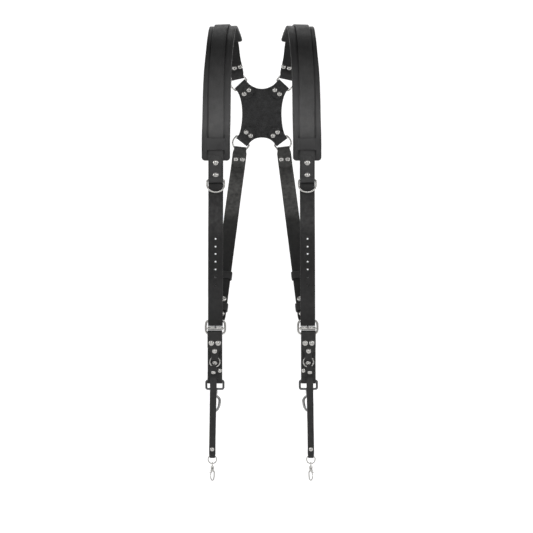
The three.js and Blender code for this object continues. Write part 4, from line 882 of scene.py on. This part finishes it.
def frame_loop(centre, half, height, bow, corner):
    """A rounded rectangle from its top bar down, whose sides bulge by bow (1 - e^2), e being 0 at
    half its height and 1 at its bars."""
    loop = spaced(rounded(half, -height, 0, corner), 1.2)
    e = np.clip((loop[:, 1] + height / 2) / (height / 2), -1, 1)
    loop[:, 0] += np.sign(loop[:, 0]) * bow * (1 - e**2) * (np.abs(loop[:, 0]) > half * 0.6)
    return centre + np.c_[loop[:, 0], 0 * e, loop[:, 1]]


FRAME_HEIGHT = 23.7
ROLLER = BUCKLE + DOWN * 13.7
pieces = [tube(frame_loop(BUCKLE, 16.4, FRAME_HEIGHT, 0.9, 5.5), 2.0, closed=True, flat=0.85)]
pieces.append(tube([ROLLER + vec(x, 0, 0) for x in (-16, -8, 0, 8, 16)], 1.1))
prong, _ = spline(
    [
        BUCKLE + vec(0, 0, -0.3),
        BUCKLE + vec(0, -1.3, -4),
        BUCKLE + vec(0, -3.1, -7.4),
        BUCKLE + vec(0, -4.9, -11),
        ROLLER + vec(0, -4.9, 0.6),
    ],
    [[0]] * 5,
    per=8,
)
put_in("buckle_wire", *joined(pieces), NICKEL, "nickel", node="buckle_frame")
put_in("buckle_prong", *tube(prong, np.linspace(1.5, 1.2, len(prong))), SNAP_METAL, "nickel")
rows = [(1.45, -13.9), (2.9, -13.9), (3.2, -13.5), (3.2, -6), (3.2, 0)]
rows += [(r, -h) for r, h in rows[-2::-1]]
roller = turned_body(ROLLER, ACROSS, rows, sides=40)
put_in("buckle_roller_tube", *roller, NICKEL, "nickel", node="buckle_roller", body="roller")

# Leash: one strip of leather. Its small end goes round the O-ring, up in front, over the buckle's
# bottom bar, down behind, round the snap's square eye and up again as a flap. Two screws and
# three rivets hold it.

EYE = vec(83.3, -46.2, -632.5)
O_TOP = vec(83.3, -48.9, -589.9)
LEASH_BAR = BUCKLE + DOWN * FRAME_HEIGHT
LEASH_X = O_TOP[0]
O_FOLD, EYE_FOLD, BAR_RISE = 2.9, 3.8, 1.4  # radii round the O-ring and the eye, and a slack top fold
rows = [(vec(LEASH_X, O_TOP[1] + O_FOLD, O_TOP[2] + u), ACROSS) for u in (16, 8, 0)]
for turn in np.linspace(-0.5, 0.5, 21) * math.pi:
    rows.append((O_TOP + vec(0, -O_FOLD * math.sin(turn), -3.1 - O_FOLD * math.cos(turn)), ACROSS))
leash_front = lambda z: O_TOP[1] - O_FOLD + 2.2 * (z - O_TOP[2]) / (LEASH_BAR[2] - O_TOP[2])
rows += [(vec(LEASH_X, leash_front(z), z), ACROSS) for z in O_TOP[2] + np.linspace(5, 34, 10)]
for turn in np.linspace(0.5, -0.5, 25) * math.pi:
    y = LEASH_BAR[1] - BAR_FOLD * math.sin(turn)
    rows.append((vec(LEASH_X, y, LEASH_BAR[2] + BAR_RISE + BAR_FOLD * math.cos(turn)), ACROSS))
leash_y = EYE[1] + EYE_FOLD
rows += [(vec(LEASH_X, leash_y, LEASH_BAR[2] - u), ACROSS) for u in (20, 40, 60, 76)]
rows += fold(EYE, UP, FRONT, EYE_FOLD, 0, 11, 25, LEATHER + GAP - EYE_FOLD)
LEASH = Course(rows)
o_mark = LEASH.nearest(LEASH_X, O_TOP[2] - 6, 0, 0.2)
O_WIDTH, FLAP_WIDTH = 12.4, 16.4


def leash_width(s):
    """O_WIDTH round the O-ring, WIDE along the leash and FLAP_WIDTH at the lower flap, joined by
    3e^2 - 2e^3."""
    e = np.clip((s - o_mark - 12) / 13, 0, 1)
    g = np.clip((s - (LEASH.long - 9)) / 9, 0, 1)
    upper = O_WIDTH + (WIDE - O_WIDTH) * (3 * e * e - 2 * e**3)
    return upper - (WIDE - FLAP_WIDTH) * (3 * g * g - 2 * g**3)


shape = strap_outline(LEASH.long, leash_width, tail=8)
leash = panel(shape, LEASH.at, LEATHER, crease=1.7, dent=0.14)
put_in("leash_leather", *leash, STRAP_LEATHER, "leather", node="leash")
PAIR_Z, SINGLE_Z, FLAP_FACE_Y = -565.3, -579.5, -47.25
leash_face = lambda z: leash_front(z) - LEATHER / 2
for key, x in (("in", LEASH_X - 6), ("out", LEASH_X + 6)):
    screw = turned_body(vec(x, leash_face(PAIR_Z), PAIR_Z), FRONT, head(reach=11.3))
    put_in(f"leash_cap_{key}", *screw, NICKEL, "nickel", node=f"leash_screw_{key}")
rivet("leash_rivet_0", vec(83.6, leash_face(SINGLE_Z), SINGLE_Z), FRONT, radius=4.5)
rivet("leash_rivet_1", vec(83.1, FLAP_FACE_Y, -601), FRONT, radius=4.2, height=1.4)
rivet("leash_rivet_2", vec(75.2, FLAP_FACE_Y, -614.6), FRONT, radius=4.2, height=1.8)

# O-ring: a small welded ring of nickel-plated wire. It lies flat on the leash, its top in the fold
# of the leash's front end.


def ring_loop(top, radius, side, up, count=60):
    """A circle of points in the plane of side and up, hanging from top."""
    a = 2 * math.pi * np.arange(count) / count
    return top - up * radius + radius * (np.outer(np.cos(a), side) + np.outer(np.sin(a), up))


ring = tube(ring_loop(O_TOP, 8.9, ACROSS, UP), 1.1, closed=True)
put_in("o_ring_wire", *ring, NICKEL, "nickel", node="o_ring")

# Snap: cast zinc with a dark plating. The leash holds its square eye, a paler hook turns on the
# eye's barrel, and a sprung gate closes the hook.
EYE_HEIGHT = 14.6
eye = tube(frame_loop(EYE, 15.25, EYE_HEIGHT, 0, 2.6), 2.0, closed=True, flat=0.92)
barrel = [(2.6, 0.2), (2.5, 1.6), (2.0, 2.2), (2.0, 6.6), (3.1, 6.7), (3.2, 7.9), (0.4, 8.0)]
stem = turned_body(EYE + DOWN * EYE_HEIGHT, DOWN, barrel)
put_in("square_eye", *joined([eye, stem]), SNAP_METAL, "snap_metal", node="snap_eye", body="snap_eye")
HOOK = vec(83.3, -46.2, -649.4)
HOOK_HALF, HOOK_LONG, HOOK_WIRE = 8, 38, 2.3
# The hook's spine: x in shares of its half width, drop in shares of its length, and the wire's
# radius in shares of HOOK_WIRE.
SPINE = [
    (-0.12, 0.255, 0.9),
    (-0.72, 0.33, 1.05),
    (-1.05, 0.46, 1.2),
    (-1.02, 0.62, 1.15),
    (-0.78, 0.82, 1),
    (-0.3, 0.95, 0.95),
    (0.3, 0.95, 0.9),
    (0.8, 0.82, 0.85),
    (0.98, 0.68, 0.8),
]
spine = np.array(SPINE)
reach = np.c_[spine[:, 0] * HOOK_HALF, 0 * spine[:, 0], -spine[:, 1] * HOOK_LONG]
pts, cols = spline(HOOK + reach, spine[:, 2:], per=8)
collar = [(2.35, 0.0), (4.3, 0.0), (4.85, 0.5), (4.9, 1.2), (4.9, 5.4)]
collar += [(4.7, 6.2), (4.1, 8.2), (3.4, 10.2), (2.4, 11.0), (0.4, 11.1)]
pieces = [tube(pts, cols[:, 0] * HOOK_WIRE), turned_body(HOOK, DOWN, collar)]


def cheek(pivot, radius, thick, height):
    """Two rounded cheeks beside a pivot, upright plates with the pivot's end between them."""
    made = []
    for side in (-1, 1):
        y = pivot[1] + side * (radius + 0.3 + thick / 2)
        line = [vec(pivot[0] - radius * 0.4, y, pivot[2] + u) for u in np.linspace(0, height - radius, 6)]
        v, f = tube(line, radius * 1.15)
        v[:, 1] = y + (v[:, 1] - y) * thick / 2 / (radius * 1.15)
        made.append((v, facing(v, f)))
        end = [(radius * 0.5, -0.2), (radius * 0.5, thick * 0.8), (0.1, thick)]
        made.append(turned_body(vec(pivot[0], y, pivot[2]), vec(0, side, 0), end))
    return made


GATE = vec(88.26, -46.2, -661.18)
pieces += cheek(GATE, 1.7, 1.1, 6.4)
put_in("cast_hook", *joined(pieces), HOOK_METAL, "snap_metal", node="snap_hook", body="snap_hook")
tip = HOOK + reach[-1] + UP * (0.8 * HOOK_WIRE + 1.2)
gate = tube(GATE + np.outer(np.linspace(0, 1, 9), tip - GATE), np.linspace(1.6, 1.35, 9))
put_in("sprung_gate", *gate, HOOK_METAL, "snap_metal", node="snap_gate", body="snap_gate")

# Safety strap: a narrow strap of thinner leather, riveted over the leash's lower flap. It hangs
# clear in front of the snap and is folded round a small ring at its end.
SAFETY_TOP, SAFETY_FALL, SAFETY_THICK = vec(85.7, -48.7, -618.1), 146, 2.4
# Its middle line: x and y beside the point where it hangs clear, and the drop in shares of its fall.
SAFETY_ROWS = [
    (0, 10.3, 0.014),
    (0, 5.15, 0.062),
    (0, 0, 0.185),
    (0.6, 0, 0.41),
    (1.4, 2, 0.72),
    (1.8, 0.5, 0.93),
]
rows = np.array(SAFETY_ROWS) * [1, 1, -SAFETY_FALL] + [SAFETY_TOP[0], -59, SAFETY_TOP[2]]
line, _ = spline(rows, [[0]] * len(rows))
CLASP_RING = vec(87.5, -56, -764.1)
SMALL_FOLD, SMALL_DROP, SMALL_LAP = 2.5, 1.8, 12
small = fold(CLASP_RING, UP, BACK, SMALL_FOLD, SMALL_DROP, 5, SMALL_LAP, SAFETY_THICK + GAP - SMALL_FOLD)
over_ring = [SAFETY_TOP + vec(0, -2.9, 8.5), SAFETY_TOP + vec(0, -2.0, 4.5), SAFETY_TOP + UP]
SAFETY = Course([(p, ACROSS) for p in over_ring + list(line) + [p for p, _ in small]])
slim = SAFETY.long - SMALL_LAP - SMALL_DROP - math.pi * SMALL_FOLD / 2


def safety_width(s):
    """12.4 mm at its head, 11.5 mm from 100 mm on, and 2.5 mm less in the ring's fold."""
    return 12.4 - 0.9 * np.clip(s / 100, 0, 1) - 2.5 * np.clip(1 - np.abs(s - slim) / 8, 0, 1)


shape = strap_outline(SAFETY.long, safety_width, head=5, tail=5)
strap = panel(shape, SAFETY.at, SAFETY_THICK, edge=0.7, crease=1.4, dent=0.12)
put_in("safety_strap_leather", *strap, STRAP_LEATHER, "leather", node="safety_strap")
rivet("safety_rivet_0", *on_face(SAFETY, 85.8, -618.0, 0, 0.2, SAFETY_THICK), radius=4.0, height=1.7)
rivet("safety_rivet_1", *on_face(SAFETY, 87.6, -752.8, 0.4, 0.95, SAFETY_THICK), radius=3.9, height=1.7)

# Small clasp, nickel-plated: a wire ring in the strap's fold, a swivel eye on the ring, a cast body
# with a hooked end that turns on the eye, and a sprung lever.
ring = tube(ring_loop(CLASP_RING, 7.5, ACROSS, UP), 1.0, closed=True)
put_in("small_ring", *ring, NICKEL, "nickel", node="clasp_ring")
EYE_RADIUS = 2.7
EYE_MID = vec(87.5, -56, -779.4)
loop = tube(ring_loop(EYE_MID + UP * EYE_RADIUS, EYE_RADIUS, BACK, UP, 30), 0.9, closed=True, sides=14)
rows = [(1.0, 0.2), (1.0, 4.4), (1.7, 4.45), (1.7, 5.3), (0.2, 5.4)]
stem = turned_body(EYE_MID + DOWN * EYE_RADIUS, DOWN, rows, sides=24)
put_in("clasp_swivel_eye", *joined([loop, stem]), NICKEL, "nickel", node="clasp_eye")
CLASP, LEVER = vec(87.5, -56, -783.5), vec(89.948, -56, -794.94)
CLASP_HALF, CLASP_LONG, CLASP_WIRE = 3.4, 26, 1.1
# The clasp's spine, in the same columns as the hook's.
CLASP_SPINE = [
    (-0.3, 0.225, 1),
    (-0.9, 0.4, 1.1),
    (-0.95, 0.7, 1.05),
    (-0.55, 0.92, 1),
    (0.1, 0.97, 0.95),
    (0.7, 0.86, 0.9),
    (0.95, 0.7, 0.8),
]
spine = np.array(CLASP_SPINE)
reach = np.c_[spine[:, 0] * CLASP_HALF, 0 * spine[:, 0], -spine[:, 1] * CLASP_LONG]
pts, cols = spline(CLASP + reach, spine[:, 2:], per=8)
collar = [(1.35, 0), (2.6, 0), (2.9, 0.4), (2.9, 7.8), (2.6, 8.8), (2.2, 9.7), (0.3, 9.8)]
pieces = [tube(pts, cols[:, 0] * CLASP_WIRE, sides=14), turned_body(CLASP, DOWN, collar, sides=28)]
pieces += cheek(LEVER, 1.0, 0.7, 5.4)
put_in("clasp_cast_body", *joined(pieces), NICKEL, "nickel", node="clasp_body", body="clasp")
tip = CLASP + reach[-1] + UP * (0.8 * CLASP_WIRE + 1)
line = [LEVER + vec(2.4, 0, 0.4), LEVER + vec(1.2, 0, 0.2), LEVER, (LEVER + tip) / 2, tip]
lever = tube(line, [0.8, 0.9, 1.0, 0.9, 0.8], sides=14)
put_in("clasp_thumb_lever", *lever, NICKEL, "nickel", node="clasp_lever", body="clasp_lever")

# Studio: pale paper as a floor that curves up into the wall, large soft lamps in front, beside and
# above, and the camera level with the harness's middle.


def cove():
    """Floor, quarter-round and wall as one sheet, 4.6 m behind. Its paper glows a little from under
    the harness backwards: painted light, an emission that brightens the backdrop though it is no lamp."""
    bend = [(3.8 + 0.8 * math.sin(a), -0.15 - 0.8 * math.cos(a)) for a in np.linspace(0, math.pi / 2, 24)]
    prof = [(-9, -0.95)] + bend + [(4.6, 7)]
    v = [(x, y, z) for y, z in prof for x in (-10, 10)]
    f = [(2 * i, 2 * i + 1, 2 * i + 3, 2 * i + 2) for i in range(len(prof) - 1)]
    mesh = bpy.data.meshes.new("studio")
    mesh.from_pydata(v, [], f)
    mesh.shade_smooth()
    obj = bpy.data.objects.new("studio", mesh)
    bpy.context.scene.collection.objects.link(obj)
    m = bpy.data.materials.new("studio_paper")
    m.use_nodes = True
    nt = m.node_tree
    b = nt.nodes["Principled BSDF"]
    b.inputs["Base Color"].default_value = (0.9, 0.9, 0.9, 1)
    b.inputs["Roughness"].default_value = 0.9
    b.inputs["Emission Color"].default_value = (1, 1, 1, 1)
    split = nt.nodes.new("ShaderNodeSeparateXYZ")
    nt.links.new(nt.nodes.new("ShaderNodeTexCoord").outputs["Object"], split.inputs["Vector"])
    glow = nt.nodes.new("ShaderNodeMapRange")
    glow.inputs["From Min"].default_value = -0.7
    glow.inputs["From Max"].default_value = 0.3
    glow.inputs["To Max"].default_value = 0.42
    nt.links.new(split.outputs["Y"], glow.inputs["Value"])
    nt.links.new(glow.outputs["Result"], b.inputs["Emission Strength"])
    mesh.materials.append(m)


def lamp(name, place, target, size, power, tall=None):
    """A soft rectangular lamp that faces its target."""
    data = bpy.data.lights.new(name, "AREA")
    data.shape = "RECTANGLE"
    data.size = size
    data.size_y = tall or size
    data.energy = power
    obj = bpy.data.objects.new(name, data)
    obj.location = place
    obj.rotation_euler = (Vector(target) - Vector(place)).to_track_quat("-Z", "Y").to_euler()
    bpy.context.scene.collection.objects.link(obj)


cove()
lamp("front", (0, -2.5, 0.75), (0, 0, -0.4), 2.4, 16, 0.45)
lamp("side_left", (-2.3, -1.2, 0.3), (0, 0, -0.35), 0.5, 8, 1.6)
lamp("side_right", (2.3, -1.2, 0.3), (0, 0, -0.35), 0.5, 8, 1.6)
lamp("top", (0, 2.0, 3.0), (0, 2.4, -0.9), 3.2, 41)
world = bpy.data.worlds.new("world")
bpy.context.scene.world = world
world.use_nodes = True
world.node_tree.nodes["Background"].inputs["Color"].default_value = (1, 1, 1, 1)
world.node_tree.nodes["Background"].inputs["Strength"].default_value = 0.3

cam = bpy.data.cameras.new("camera")
cam.lens = 111.95
cam.sensor_width = 36
cam.clip_end = 50
view = bpy.data.objects.new("camera", cam)
view.location = (0.0087, -3.0, -0.429)
view.rotation_euler = (math.pi / 2, 0, 0)
bpy.context.scene.collection.objects.link(view)
bpy.context.scene.camera = view
bpy.context.scene.view_settings.view_transform = "Standard"
